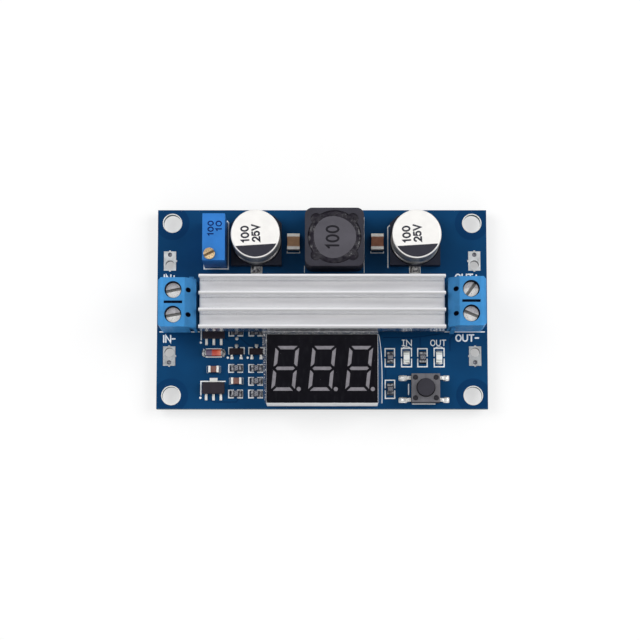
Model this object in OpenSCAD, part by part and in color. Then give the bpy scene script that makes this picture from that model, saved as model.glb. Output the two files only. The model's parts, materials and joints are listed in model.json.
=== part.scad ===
// Adjustable step-up converter module with a three-digit meter, in millimetres.
// The origin is the centre of the mounting-hole pattern on the underside of the board.
// X runs from the input terminal to the output terminal, Y from the display to the inductor, Z up.

/* [Board] */
// Length of the circuit board along X
board_l = 67.8; // [67:0.1:72]
// Width of the circuit board along Y
board_w = 41.2; // [41:0.1:44]
// Thickness of the circuit board
board_t = 1.6; // [1:0.1:2.4]
// Diameter of the four mounting holes
mount_hole_d = 3.6; // [2.6:0.1:3.8]
// Distance from a mounting hole to the board's short edge
mount_inset_x = 3; // [2.6:0.05:3.2]
// Distance from a mounting hole to the board's long edge
mount_inset_y = 2.75; // [2.5:0.05:3.2]
// How far the pins of the leaded parts stand out below the board
tail_l = 1.5; // [0.8:0.1:2.5]
// Room round a pin in its plated hole, on the radius
pin_clearance = 0.15; // [0.1:0.05:0.3]
// Least room between neighbouring parts when a size brings them together
part_gap = 0.1; // [0.05:0.05:0.3]

/* [Wire pads] */
// Width of a wire pad along X
pad_w = 2.5; // [2.3:0.1:3]
// Length of a wire pad along Y
pad_l = 4; // [3.9:0.1:4.6]
// Thickness of the tinned copper
pad_t = 0.08; // [0.04:0.02:0.16]
// Distance from a pad to the board's short edge
pad_edge_gap = 1.3; // [0.8:0.1:1.4]
// How far the middle of the pads lies in front of the terminal row's middle
pad_shift = 0.25; // [0:0.05:0.4]
// Distance from the middle of the pads to a pad's centre
pad_reach = 9.85; // [9.5:0.05:10.5]
// Diameter of the wire hole in a pad
wire_hole_d = 1.9; // [1.4:0.1:2.1]
// Diameter of the small via hole in a pad
via_hole_d = 0.9; // [0.6:0.1:1.1]
// Distance from a pad's holes to its ends
pad_margin = 0.25; // [0.15:0.05:0.4]
// Wall of the plated lining in the pad holes
plating_t = 0.06; // [0.04:0.02:0.1]

/* [Screw terminals] */
// Y of the middle of the terminal and heatsink row
power_row_y = 0.35; // [-0.2:0.05:0.5]
// How far the input terminal stands in front of the row's middle
input_terminal_shift = 0.25; // [0:0.05:0.4]
// Distance between the two poles
terminal_pitch = 5; // [5:0.02:5.08]
// Depth of a terminal along X
terminal_depth = 7.55; // [7.4:0.05:8.2]
// Height of a terminal above the board
terminal_h = 10; // [9.8:0.1:10.6]
// Distance from the wire side of a terminal to the board's short edge
terminal_edge_gap = 0.85; // [0.4:0.05:1]
// Length of the flat top, from the wire side
terminal_top_l = 5.5; // [5.4:0.1:5.8]
// Height of the inner side, where the slope ends
terminal_slope_h = 7.6; // [7:0.1:9]
// Chamfer along the top of the wire side
terminal_chamfer = 0.45; // [0.2:0.05:0.8]
// Chamfer of the upright corners on the wire side
terminal_corner = 0.55; // [0.2:0.05:0.7]
// Distance from the wire side to the screw axis
screw_inset = 3.05; // [3:0.05:3.2]
// Diameter of the hole over a screw head
screw_bore_d = 3.4; // [3.3:0.1:3.8]
// Diameter of a screw head
screw_head_d = 3; // [2.7:0.1:3.2]
// Height of a screw head
screw_head_h = 1.3; // [1.1:0.1:1.4]
// Depth of a screw head below the top
screw_recess = 1.2; // [0.7:0.1:1.3]
// Diameter of a screw shank
screw_shank_d = 2; // [1.7:0.1:2.2]
// Width of the screwdriver slot
screw_slot_w = 0.6; // [0.4:0.1:0.9]
// Depth of the screwdriver slot
screw_slot_h = 0.7; // [0.4:0.1:0.9]
// Thickness of the ledge under a screw head
screw_seat_t = 0.35; // [0.3:0.05:0.5]
// Slot angle of the input plus screw
input_plus_angle = 12; // [-90:1:90]
// Slot angle of the input minus screw
input_minus_angle = 10; // [-90:1:90]
// Slot angle of the output plus screw
output_plus_angle = 54; // [-90:1:90]
// Slot angle of the output minus screw
output_minus_angle = -23; // [-90:1:90]
// Room round a screw shank, on the radius
screw_clearance = 0.1; // [0.05:0.05:0.2]
// How far a wire clamp rises when its screw is tightened
clamp_travel = 2; // [1.5:0.1:2.2]
// Width of a wire clamp along Y
clamp_w = 3.7; // [3.4:0.1:3.9]
// Length of a wire clamp along X
clamp_l = 3.2; // [2.8:0.1:3.3]
// Wall of a wire clamp
clamp_wall = 0.6; // [0.4:0.05:0.7]
// Thickness of the threaded top of a wire clamp
clamp_top_t = 0.8; // [0.6:0.1:1]
// Room round a wire clamp
clamp_gap = 0.1; // [0.05:0.05:0.2]
// Thickness of the contact strip
contact_t = 0.6; // [0.5:0.05:0.7]
// Width of the contact strip
contact_w = 2.1; // [1.6:0.1:2.2]
// Width of the pin that the contact strip ends in
contact_pin_w = 1; // [0.8:0.1:1.2]
// How far a wire entry flares at its mouth
wire_flare = 0.5; // [0.2:0.05:0.7]
// Length of the mark groove between the two poles
mark_groove_l = 3.65; // [3:0.05:4]
// Width of the mark groove
mark_groove_w = 0.5; // [0.3:0.05:0.7]
// Depth of the mark groove
mark_groove_h = 0.8; // [0.4:0.1:1]
// Diameter of the small test holes on the slope
test_hole_d = 0.95; // [0.7:0.05:1.1]
// Distance from the flat top to a test hole
test_hole_gap = 0.1; // [0.05:0.05:0.4]
// Width of the dovetail at its root
dovetail_root_w = 0.6; // [0.5:0.05:1.1]
// Width of the dovetail at its tip
dovetail_tip_w = 0.95; // [0.85:0.05:1.45]
// How far the dovetail stands out
dovetail_l = 0.55; // [0.5:0.05:0.8]
// Height of the dovetail
dovetail_h = 7; // [5:0.5:7.4]
// Room in the dovetail groove
dovetail_gap = 0.08; // [0.04:0.02:0.1]
// Distance from a terminal's inner side to the middle of its dovetail
dovetail_inset = 1; // [0.85:0.05:1.4]

/* [Trimmer] */
// Width of the trimmer along X
trimmer_w = 4.55; // [4.4:0.01:4.9]
// Length of the trimmer along Y
trimmer_l = 9.53; // [9.3:0.01:10]
// Height of the trimmer above the board, without its screw
trimmer_h = 10; // [9:0.1:11]
// Height of the feet under the trimmer
trimmer_foot_h = 0.4; // [0.2:0.1:0.8]
// Width of a foot under the trimmer, each way
trimmer_foot_w = 1.2; // [0.8:0.1:1.6]
// Distance from the trimmer to the board's back edge
trimmer_back_gap = 2.45; // [2:0.05:3]
// Gap between the trimmer and the input capacitor
trimmer_gap = 1; // [0.5:0.05:1.5]
// Diameter of the trimmer screw
trimmer_screw_d = 2.3; // [2:0.1:2.4]
// How far the trimmer screw stands out
trimmer_screw_rise = 0.75; // [0.4:0.05:1]
// Depth of the trimmer screw in the body
trimmer_screw_depth = 2.5; // [2:0.1:4]
// Width of the slot in the trimmer screw
trimmer_slot_w = 0.5; // [0.3:0.05:0.7]
// Depth of the slot in the trimmer screw
trimmer_slot_h = 0.6; // [0.3:0.05:0.8]
// Slot angle of the trimmer screw
trimmer_slot_angle = 26; // [-90:1:90]
// Distance from the trimmer's left side to its screw
trimmer_screw_inset_x = 1.45; // [1.4:0.05:2]
// Distance from the trimmer's front side to its screw
trimmer_screw_inset_y = 1.25; // [1.25:0.05:2]
// Diameter of the trimmer pins
trimmer_pin_d = 0.55; // [0.45:0.05:0.65]
// Pitch of the trimmer pins
trimmer_pin_pitch = 2.54; // [2.5:0.01:2.6]

/* [Can capacitors] */
// Diameter of a capacitor can
can_d = 10; // [9.6:0.1:10.2]
// Height of a capacitor above the board
can_h = 10.2; // [8:0.1:12.5]
// Radius of the can's top edge
can_edge_r = 0.5; // [0.3:0.05:0.8]
// Height of the crimp groove above the board
can_groove_z = 3.9; // [3.4:0.1:5]
// Depth of the crimp groove
can_groove_depth = 0.45; // [0.2:0.05:0.6]
// Width of the square base
can_base_w = 10.3; // [10.2:0.05:10.5]
// Height of the base under the can
can_base_h = 1.3; // [1:0.1:1.6]
// Height of the base at its corners
can_corner_h = 2.1; // [1.7:0.1:2.6]
// Chamfer of the two corners on the plus side
can_base_chamfer = 1.6; // [1:0.1:2.2]
// Width of a capacitor lead
can_lead_w = 1.1; // [0.8:0.1:1.4]
// Thickness of a capacitor lead
can_lead_t = 0.3; // [0.2:0.05:0.4]
// Distance from the middle of the base to a lead's inner end
can_lead_inset = 1.3; // [1:0.1:2]
// How far a lead stands out of the base
can_lead_out = 0.9; // [0.5:0.1:1.2]
// Distance from a capacitor base to the board's back edge
can_back_gap = 1.5; // [1.2:0.1:2]

/* [Inductor] */
// Width of the square shield
inductor_w = 12; // [11.6:0.1:12.4]
// Height of the inductor above the board
inductor_h = 8; // [7:0.1:9]
// Corner radius of the shield
inductor_corner_r = 1.5; // [1:0.1:2.5]
// X of the inductor
inductor_x = 2.5; // [2.3:0.1:2.8]
// Distance from the inductor to the board's back edge
inductor_back_gap = 0.9; // [0.7:0.1:1.6]
// Diameter of the round opening in the shield
shield_bore_d = 10.9; // [10:0.1:11]
// Diameter of the glue pockets in the shield's corners
shield_pocket_d = 2.2; // [1.6:0.1:2.4]
// Distance from the middle of the shield to a glue pocket
shield_pocket_reach = 5.3; // [5:0.1:5.6]
// Diameter of the drum core's flanges
core_flange_d = 9.2; // [8.8:0.1:9.6]
// Thickness of the drum core's flanges
core_flange_t = 1.3; // [1:0.1:1.6]
// Diameter of the drum core's post
core_post_d = 5; // [4:0.1:5.6]
// Depth of the core's top below the shield's top
core_recess = 0.15; // [0.05:0.05:0.4]
// Diameter of the copper wire
winding_wire_d = 0.8; // [0.7:0.05:0.9]
// Thickness of the terminals under the inductor
inductor_terminal_t = 0.3; // [0.2:0.05:0.5]
// Width of the terminals under the inductor
inductor_terminal_w = 5; // [4:0.1:6]
// Depth of the glue's surface below the core's top
glue_recess = 0.15; // [0.1:0.05:0.3]

/* [Chip parts] */
// Length of a large ceramic capacitor
large_chip_l = 3.2; // [3:0.05:3.4]
// Width of a large ceramic capacitor
large_chip_w = 2.5; // [2.3:0.05:2.7]
// Height of a large ceramic capacitor
large_chip_h = 1.8; // [1.4:0.1:2.2]
// Length of a small chip
small_chip_l = 2; // [1.9:0.05:2.1]
// Width of a small chip
small_chip_w = 1.25; // [1.15:0.05:1.35]
// Height of a small ceramic capacitor
small_ceramic_h = 0.9; // [0.6:0.05:1.25]
// Height of a resistor without its coat
resistor_h = 0.5; // [0.4:0.05:0.7]
// Thickness of a resistor's dark coat
resistor_coat_t = 0.05; // [0.03:0.01:0.08]
// Length of a chip's metal end
chip_end_l = 0.4; // [0.3:0.05:0.5]
// Length of a large ceramic's metal end
large_end_l = 0.85; // [0.6:0.05:1.1]
// Thickness of a chip's metal end
chip_end_t = 0.05; // [0.03:0.01:0.08]
// Gap between the input capacitor and its ceramic
input_ceramic_gap = 1.2; // [0.8:0.05:1.5]
// Gap between the input ceramic and the inductor
inductor_left_gap = 1.15; // [0.8:0.05:1.5]
// Gap between the inductor and the output ceramic
inductor_right_gap = 1.6; // [0.8:0.05:2]
// Gap between the output ceramic and the output capacitor
output_ceramic_gap = 1.35; // [0.8:0.05:1.6]
// Distance from the large ceramics to the board's back edge
ceramic_back_gap = 5.25; // [4.5:0.05:6]
// Height of an indicator lamp's base
lamp_base_h = 0.35; // [0.25:0.05:0.5]
// Height of an indicator lamp's lens
lamp_lens_h = 0.5; // [0.3:0.05:0.8]
// Length of an indicator lamp's lens
lamp_lens_l = 1.3; // [1:0.05:1.5]

/* [Heatsink] */
// Width of the heatsink along Y
heatsink_w = 11.35; // [10.8:0.05:11.6]
// Height of the heatsink
heatsink_h = 5; // [4:0.1:8]
// Thickness of the heatsink's base
heatsink_base_t = 1.5; // [1:0.1:2]
// Number of fins
fin_count = 4; // [3:1:6]
// Thickness of a fin at its tip
fin_t = 0.8; // [0.6:0.05:1]
// Extra thickness of a fin at its root
fin_draft = 0.3; // [0:0.05:0.6]
// Gap between the heatsink and a terminal
heatsink_end_gap = 0.55; // [0.1:0.05:0.8]
// Thickness of the thermal adhesive
adhesive_t = 0.15; // [0.1:0.05:0.3]
// Distance from the edge of a power package's top to the adhesive
adhesive_margin = 1; // [0.5:0.1:2]
// Height of the power packages
power_h = 4.4; // [4.2:0.1:4.7]
// Length of a power package's moulded body along X
power_body_l = 9.2; // [8.8:0.1:9.4]
// Width of a power package along Y
power_w = 10.2; // [9.6:0.1:10.4]
// Taper of the upper half of a power package, on each side
power_draft = 0.25; // [0.1:0.05:0.4]
// Thickness of a power package's metal tab
power_tab_t = 1.27; // [1:0.05:1.4]
// How far the tab stands out of the moulded body
power_tab_out = 1.4; // [1.2:0.1:1.6]
// How far the leads stand out of the moulded body
power_lead_out = 4.6; // [4:0.1:4.8]
// Width of a power lead
power_lead_w = 0.8; // [0.7:0.05:1]
// Thickness of a power lead
power_lead_t = 0.45; // [0.35:0.05:0.6]
// Distance between the two leads of a power package
power_lead_pitch = 5.08; // [5:0.02:5.2]
// X of the power transistor's body
transistor_x = -2.4; // [-2.8:0.1:-2]
// X of the rectifier's body
rectifier_x = 14.2; // [14:0.1:14.6]

/* [Controllers] */
// X of the converter controller
converter_chip_x = -12.4; // [-12.6:0.1:-12]
// Width of the converter controller's body, each way
converter_chip_w = 3; // [2.9:0.05:3.1]
// Number of leads on each side of the converter controller
converter_lead_count = 5; // [4:1:5]
// Pitch of the converter controller's leads
converter_lead_pitch = 0.5; // [0.45:0.05:0.5]
// X of the meter controller
meter_chip_x = -19.4; // [-20:0.1:-19]
// Length of the meter controller's body along X
meter_chip_l = 6.5; // [6.4:0.1:6.7]
// Width of the meter controller's body along Y
meter_chip_w = 4.4; // [4.2:0.1:4.5]
// Number of leads on each side of the meter controller
meter_lead_count = 10; // [8:1:10]
// Pitch of the meter controller's leads
meter_lead_pitch = 0.65; // [0.6:0.05:0.65]
// Distance from the middle of the row to the controllers, along Y
chip_row_offset = 1.5; // [1.3:0.1:1.6]
// Height of the controllers
chip_h = 1.1; // [0.9:0.1:1.3]
// How far the controllers' leads stand out
chip_lead_out = 0.95; // [0.8:0.05:1]
// Width of the controllers' leads
chip_lead_w = 0.24; // [0.18:0.02:0.28]
// Thickness of the small gull-wing leads
thin_lead_t = 0.13; // [0.1:0.01:0.16]

/* [Display] */
// Length of the display along X
display_l = 22.5; // [22.3:0.1:22.9]
// Width of the display along Y
display_w = 14; // [13.7:0.1:14.1]
// Height of the display above the board
display_h = 7.3; // [6:0.1:8.5]
// Distance from the display to the board's front edge
display_front_gap = 0.55; // [0.3:0.05:0.6]
// Thickness of the black face
display_face_t = 0.2; // [0.1:0.05:0.3]
// Width of the pale rim round the black face
display_rim = 0.06; // [0.05:0.01:0.3]
// Depth of the light wells under the face
display_well_h = 1.2; // [0.8:0.1:3]
// Distance between digits
digit_pitch = 7.45; // [7.3:0.05:7.6]
// Height of a digit
digit_h = 9.2; // [8.8:0.05:9.6]
// Width of a digit
digit_w = 4.9; // [4.4:0.05:5]
// Width of a segment
segment_w = 0.82; // [0.7:0.02:1.1]
// Gap between two segments
segment_gap = 0.4; // [0.1:0.05:0.45]
// Slant of the digits in degrees
digit_slant = 5.8; // [0:0.1:10]
// Diameter of a decimal point
point_d = 1; // [0.8:0.02:1.2]
// Distance from the middle of a digit's foot to its decimal point
point_reach = 3.2; // [3.1:0.05:3.3]
// Diameter of the display's pins
display_pin_d = 0.5; // [0.4:0.05:0.6]
// Pitch of the display's pins
display_pin_pitch = 2.54; // [2.5:0.01:2.6]
// Distance between the two rows of pins
display_pin_rows = 10.16; // [10:0.02:10.3]
// Thickness of the protective film
film_t = 0.06; // [0.04:0.02:0.1]
// How far the film stands out behind the display
film_back = 0.75; // [0.3:0.05:0.8]
// How far the film's back corner stands out on the left of the display
film_left = 0.5; // [0.2:0.05:0.8]
// Length of the bent flap at the film's right front corner
film_flap = 1.6; // [0.6:0.1:2]
// Angle of the bent flap below the face, in degrees
film_flap_angle = 52; // [20:1:70]
// Radius of the film's bend
film_bend_r = 0.5; // [0.3:0.05:0.8]

/* [Push switch] */
// Width of the switch, each way
switch_w = 5.8; // [5.8:0.1:6.2]
// Height of the switch's base under its cover
switch_base_h = 3.2; // [3:0.1:3.4]
// Thickness of the cover
switch_cover_t = 0.3; // [0.2:0.05:0.4]
// Diameter of the button
button_d = 3.5; // [3.2:0.1:3.6]
// Height of the button's top above the board
button_h = 5; // [4.2:0.1:6]
// Diameter of the button's hidden flange
button_flange_d = 4.3; // [4.1:0.1:4.4]
// Thickness of the button's hidden flange
button_flange_t = 0.6; // [0.5:0.05:0.7]
// How far the button travels
button_travel = 0.25; // [0.15:0.05:0.3]
// Diameter of the stem between the button and the snap dome
button_stem_d = 1.6; // [1.2:0.1:2]
// Room round the button, on the radius
button_clearance = 0.12; // [0.08:0.02:0.16]
// Diameter of the cavity in the base
switch_cavity_d = 4.8; // [4.7:0.1:4.9]
// Height of the cavity's floor above the board
switch_floor_h = 1.5; // [1.3:0.1:1.6]
// Diameter of the snap dome
dome_d = 4.4; // [4.2:0.1:4.5]
// Thickness of the snap dome
dome_t = 0.08; // [0.06:0.02:0.1]
// Diameter of the rivet posts
post_d = 0.9; // [0.7:0.1:1.1]
// Distance from the switch's middle to a post, along each axis
post_reach = 2.1; // [2.1:0.05:2.3]
// How far the posts stand out of the cover
post_rise = 0.15; // [0.05:0.05:0.3]
// Distance between the leads along Y
switch_lead_pitch = 4.5; // [4.3:0.1:4.6]
// How far the switch's leads stand out
switch_lead_out = 1.5; // [1.3:0.1:2.4]
// Width of the switch's leads
switch_lead_w = 0.75; // [0.6:0.05:0.9]
// Thickness of the switch's leads
switch_lead_t = 0.25; // [0.2:0.05:0.3]
// Distance from the display to the switch's middle
switch_reach_x = 9.8; // [9.6:0.1:10]
// Distance from the board's front edge to the switch's middle
switch_reach_y = 4.05; // [3.6:0.05:4.3]

/* [Small packages] */
// Length of a regulator's body along X
regulator_l = 4.5; // [4.3:0.05:4.7]
// Width of a regulator's body along Y
regulator_w = 2.45; // [2.3:0.05:2.6]
// Height of a regulator
regulator_h = 1.5; // [1.3:0.05:1.7]
// Pitch of a regulator's leads
regulator_pitch = 1.5; // [1.4:0.05:1.55]
// Thickness of a regulator's leads
regulator_lead_t = 0.4; // [0.3:0.05:0.5]
// Width of a regulator's leads
regulator_lead_w = 0.5; // [0.4:0.05:0.6]
// How far a regulator's leads stand out
regulator_lead_out = 0.9; // [0.7:0.05:1.1]
// Width of a regulator's tab
regulator_tab_w = 1.6; // [1.4:0.05:1.8]
// How far a regulator's tab stands out
regulator_tab_out = 0.6; // [0.4:0.05:0.8]
// Length of a transistor's body along X
small_transistor_l = 2.9; // [2.7:0.05:3.1]
// Width of a transistor's body along Y
small_transistor_w = 1.35; // [1.2:0.05:1.5]
// Height of a transistor
small_transistor_h = 1.1; // [0.9:0.05:1.2]
// Distance between the two front leads of a transistor
small_transistor_pitch = 1.9; // [1.8:0.05:2]
// How far a transistor's leads stand out
transistor_lead_out = 0.6; // [0.5:0.05:0.7]
// Width of a transistor's leads
transistor_lead_w = 0.42; // [0.35:0.01:0.5]
// Length of the glass diode with its end caps
diode_l = 3.6; // [3.3:0.05:3.7]
// Diameter of the glass diode's end caps
diode_d = 1.5; // [1.3:0.05:1.6]
// How far an end cap stands out round the glass
diode_cap_step = 0.05; // [0.02:0.01:0.1]
// Length of an end cap
diode_cap_l = 0.3; // [0.2:0.05:0.5]
// Distance from the display to the first column of small parts
column_reach_1 = 2.2; // [2.1:0.05:2.4]
// Distance from the display to the second column
column_reach_2 = 6.3; // [6.2:0.05:6.5]
// Distance from the display to the third column
column_reach_3 = 10.95; // [10.8:0.05:11.1]
// Distance from the display to the resistors beside the switch
side_reach = 2.7; // [2.5:0.05:2.8]
// Distance between the upright chips beside the display
side_pitch = 3.34; // [3.2:0.02:3.36]
// Distance from the board's front edge to the first row of chips
chip_row_1 = 3.1; // [3:0.05:3.2]
// Distance from the front edge to the second row of chips
chip_row_2 = 5.7; // [5.5:0.05:5.9]
// Distance from the front edge to the third row of chips
chip_row_3 = 8.35; // [8.1:0.05:8.5]
// Distance from the front edge to the fourth row of chips
chip_row_4 = 15.85; // [15.6:0.05:16]
// Distance from the front edge to the ceramic between the regulator and the diode
ceramic_row = 8.1; // [7.9:0.05:8.3]
// Distance from the front edge to the glass diode
diode_row = 11.5; // [11.2:0.05:11.8]
// Distance from the front edge to the small transistors
transistor_row = 11.75; // [11.5:0.05:12]
// Distance from the front edge to the front regulator
regulator_row_1 = 4.2; // [4:0.05:4.4]
// Distance from the front edge to the back regulator
regulator_row_2 = 15.55; // [15.3:0.05:15.7]
// Distance from the front edge to the lamps
lamp_row = 10.55; // [10.3:0.05:10.8]
// Distance from the front edge to the upright resistor beside the switch
low_resistor_row = 4.05; // [3.9:0.05:4.2]

/* [Hidden] */
$fn = 48;

// A cut runs this far past the face it opens
cut = 1;
// Running room between faces that must not bind
slip = 0.03;
// Shares of a gull-wing lead's reach at which it bends down and meets the board
gull_shoulder = 0.35;
gull_heel = 0.5;

// Board edges and the two rows
front_y = -board_w / 2;
back_y = board_w / 2;
mount_x = board_l / 2 - mount_inset_x;
mount_y = board_w / 2 - mount_inset_y;
pad_x = board_l / 2 - pad_edge_gap - pad_w / 2;
wire_hole_y = pad_l / 2 - pad_margin - wire_hole_d / 2;
via_hole_y = pad_l / 2 - pad_margin - via_hole_d / 2;

// Terminal places, in the terminal's own frame with the wires entering at +X
terminal_w = 2 * terminal_pitch;
terminal_x = board_l / 2 - terminal_edge_gap - terminal_depth / 2;
wire_side_x = terminal_depth / 2;
slope_x = wire_side_x - terminal_top_l;
screw_x = wire_side_x - screw_inset;
head_top_z = terminal_h - screw_recess;
head_z = head_top_z - screw_head_h;
cavity_h = head_z - screw_seat_t;
clamp_top_z = cavity_h - clamp_gap - clamp_travel;
clamp_base_z = 2 * clamp_gap;
contact_z = clamp_top_z - clamp_top_t - clamp_gap - contact_t;
contact_back_x = screw_x - clamp_l / 2 - clamp_gap - contact_t;
cavity_back_x = contact_back_x - clamp_gap;
cavity_front_x = screw_x + clamp_l / 2 + clamp_gap;
cavity_w = clamp_w + 2 * clamp_gap;
wire_w = clamp_w - 2 * clamp_wall;
wire_z = clamp_base_z + clamp_wall;
test_hole_x = slope_x - test_hole_gap - test_hole_d / 2;
dovetail_x = min(dovetail_inset - wire_side_x, cavity_back_x - dovetail_tip_w / 2 - 2 * dovetail_gap);
contact_hole_d = norm([contact_t, contact_pin_w]) + 2 * pin_clearance;
contact_pin_x = terminal_x + contact_back_x + contact_t / 2;

// The back row stays clear of the heatsink, also on a narrow board
row_reach = heatsink_w / 2 + part_gap;
function back_row_y(gap, w) = max(back_y - gap - w / 2, power_row_y + row_reach + w / 2);

// Back row, worked outwards from the inductor
inductor_y = back_row_y(inductor_back_gap, inductor_w);
ceramic_y = back_y - ceramic_back_gap - large_chip_l / 2;
input_ceramic_x = inductor_x - inductor_w / 2 - inductor_left_gap - large_chip_w / 2;
output_ceramic_x = inductor_x + inductor_w / 2 + inductor_right_gap + large_chip_w / 2;
input_capacitor_x = input_ceramic_x - large_chip_w / 2 - input_ceramic_gap - can_base_w / 2;
output_capacitor_x = output_ceramic_x + large_chip_w / 2 + output_ceramic_gap + can_base_w / 2;
capacitor_y = back_row_y(can_back_gap, can_base_w);
trimmer_x = input_capacitor_x - can_base_w / 2 - trimmer_gap - trimmer_w / 2;
trimmer_y = back_row_y(trimmer_back_gap, trimmer_l);

// Middle row, kept between the terminals' inner sides
inner_x = terminal_x - terminal_depth / 2;
heatsink_l = 2 * (inner_x - heatsink_end_gap);
heatsink_z = power_h + adhesive_t;
power_lead_reach = power_body_l / 2 + power_lead_out;
power_tab_reach = power_body_l / 2 + power_tab_out;
rectifier_place = min(rectifier_x, inner_x - part_gap - power_lead_reach);
transistor_place = min(transistor_x, rectifier_place - power_tab_reach - part_gap - power_lead_reach);
meter_place = max(meter_chip_x, part_gap + meter_chip_l / 2 - inner_x);
converter_place = max(converter_chip_x, meter_place + meter_chip_l / 2 + part_gap + converter_chip_w / 2);

// Front row, worked outwards from the display, which stays clear of the heatsink
display_y = min(front_y + display_front_gap, power_row_y - row_reach - display_w) + display_w / 2;
display_back_gap = power_row_y - heatsink_w / 2 - display_y - display_w / 2;
film_reach = min(film_back, display_back_gap - part_gap);

// Columns of small parts, kept between the terminal and the display
column_3 = max(-display_l / 2 - column_reach_3, part_gap + regulator_l / 2 - inner_x);
column_2 = max(-display_l / 2 - column_reach_2, column_3 + (regulator_l + small_transistor_l) / 2 + part_gap);
column_1 = max(-display_l / 2 - column_reach_1, column_2 + small_transistor_l + part_gap);
side_x = display_l / 2 + side_reach;
switch_x = display_l / 2 + switch_reach_x;
switch_y = front_y + switch_reach_y;
lamp_y = front_y + lamp_row;
lamp_places = [for (i = [1, 3]) [side_x + i * side_pitch, lamp_y]];
upright_resistors = [[side_x, lamp_y], [side_x + 2 * side_pitch, lamp_y],
    [side_x, front_y + low_resistor_row]];
flat_resistors = [[column_2, front_y + chip_row_1], [column_1, front_y + chip_row_1],
    [column_1, front_y + chip_row_2], [column_2, front_y + chip_row_3], [column_1, front_y + chip_row_3],
    [column_2, front_y + chip_row_4], [column_1, front_y + chip_row_4]];
small_ceramics = [[column_3, front_y + ceramic_row], [column_2, front_y + chip_row_2]];
regulator_places = [for (row = [regulator_row_1, regulator_row_2]) [column_3, front_y + row]];
transistor_places = [for (x = [column_2, column_1]) [x, front_y + transistor_row]];
diode_y = front_y + diode_row;

// Display pins, with one place of the back row left empty
display_pin_columns = [-2.5, -1.5, -0.5, 0.5, 1.5, 2.5];
display_pin_places = [for (row = [-1, 1]) for (c = display_pin_columns)
    if (row < 0 || c < 2) [c * display_pin_pitch, display_y + row * display_pin_rows / 2]];
trimmer_pin_places = [for (i = [-1, 0, 1]) [trimmer_x, trimmer_y + i * trimmer_pin_pitch]];

// Places on the top face of the board, turned about Z
module on_board(x, y, angle = 0) {
    translate([x, y, board_t])
        rotate(angle)
            children();
}

// A block standing on z = 0 with its middle on the Z axis
module slab(l, w, h) {
    translate([-l / 2, -w / 2, 0])
        cube([l, w, h]);
}

// An outline in X and Z, drawn out along Y
module along_y(w) {
    rotate([90, 0, 0])
        linear_extrude(w, center = true)
            children();
}

// An outline in Y and Z, drawn out along X
module along_x(l) {
    rotate([90, 0, 90])
        linear_extrude(l, center = true)
            children();
}

// A rectangle with round corners
module rounded_square(w, r) {
    square([w - 2 * r, w], center = true);
    square([w, w - 2 * r], center = true);
    for (sx = [-1, 1], sy = [-1, 1])
        translate([sx * (w / 2 - r), sy * (w / 2 - r)])
            circle(r);
}

// Outline of a strip of even thickness that follows a bent path
function unit(v) = v / norm(v);
function left_of(v) = [-v[1], v[0]];
function step_at(path, i) = unit(path[min(i + 1, len(path) - 1)] - path[min(i, len(path) - 2)]);
function step_before(path, i) = i == 0 ? step_at(path, 0) : step_at(path, i - 1);
function corner(path, i) = unit(left_of(step_before(path, i)) + left_of(step_at(path, i)));
function edge_point(path, i, t) = let (c = corner(path, i)) path[i] + c * t / (c * left_of(step_at(path, i)));
function strip_outline(path, t) = concat(
    [for (i = [0 : len(path) - 1]) edge_point(path, i, t / 2)],
    [for (i = [len(path) - 1 : -1 : 0]) edge_point(path, i, -t / 2)]);

module strip(path, t, w) {
    along_y(w)
        polygon(strip_outline(path, t));
}

// A gull-wing lead that leaves a body's side at x = 0 and stands on z = 0
function gull_path(out, rise, t) =
    [[0, rise], [out * gull_shoulder, rise], [out * gull_heel, t / 2], [out, t / 2]];

// Metal ends that wrap a chip lying along X
module chip_ends(l, w, h, end_l) {
    for (side = [0, 1])
        mirror([side, 0, 0])
            difference() {
                translate([l / 2 - end_l, -w / 2 - chip_end_t, 0])
                    cube([end_l + chip_end_t, w + 2 * chip_end_t, h + 2 * chip_end_t]);
                translate([0, 0, chip_end_t])
                    slab(l, w, h);
            }
}

module chip_core(l, w, h) {
    translate([0, 0, chip_end_t])
        slab(l, w, h);
}

// Board with its mounting holes, pin holes and lined pad holes
module circuit_board() {
    color("royalblue")
        difference() {
            slab(board_l, board_w, board_t);
            for (sx = [-1, 1], sy = [-1, 1]) {
                translate([sx * mount_x, sy * mount_y, -cut])
                    cylinder(d = mount_hole_d, h = board_t + 2 * cut);
                pad_holes(sx, sy, plating_t + slip);
            }
            for (sx = [-1, 1], sy = [-1, 1])
                through_hole([sx * contact_pin_x, pole_y(sx, sy)], contact_hole_d);
            for (p = trimmer_pin_places)
                through_hole(p, trimmer_pin_d + 2 * pin_clearance);
            for (p = display_pin_places)
                through_hole(p, display_pin_d + 2 * pin_clearance);
        }
}

module through_hole(place, d) {
    translate([place[0], place[1], -cut])
        cylinder(d = d, h = board_t + 2 * cut);
}

// Y of a terminal's middle and of its poles: side is -1 for the input and 1 for the output
function terminal_y(side) = power_row_y - (side < 0 ? input_terminal_shift : 0);
function pole_y(side, pole) = terminal_y(side) + pole * terminal_pitch / 2;

function pad_y(sy) = power_row_y - pad_shift + sy * pad_reach;

// The wire hole is on the terminal's side of a pad and the via hole is on the far side
module pad_holes(sx, sy, extra) {
    translate([sx * pad_x, pad_y(sy), -cut]) {
        translate([0, -sy * wire_hole_y, 0])
            cylinder(d = wire_hole_d + 2 * extra, h = board_t + 2 * cut);
        translate([0, sy * via_hole_y, 0])
            cylinder(d = via_hole_d + 2 * extra, h = board_t + 2 * cut);
    }
}

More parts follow.
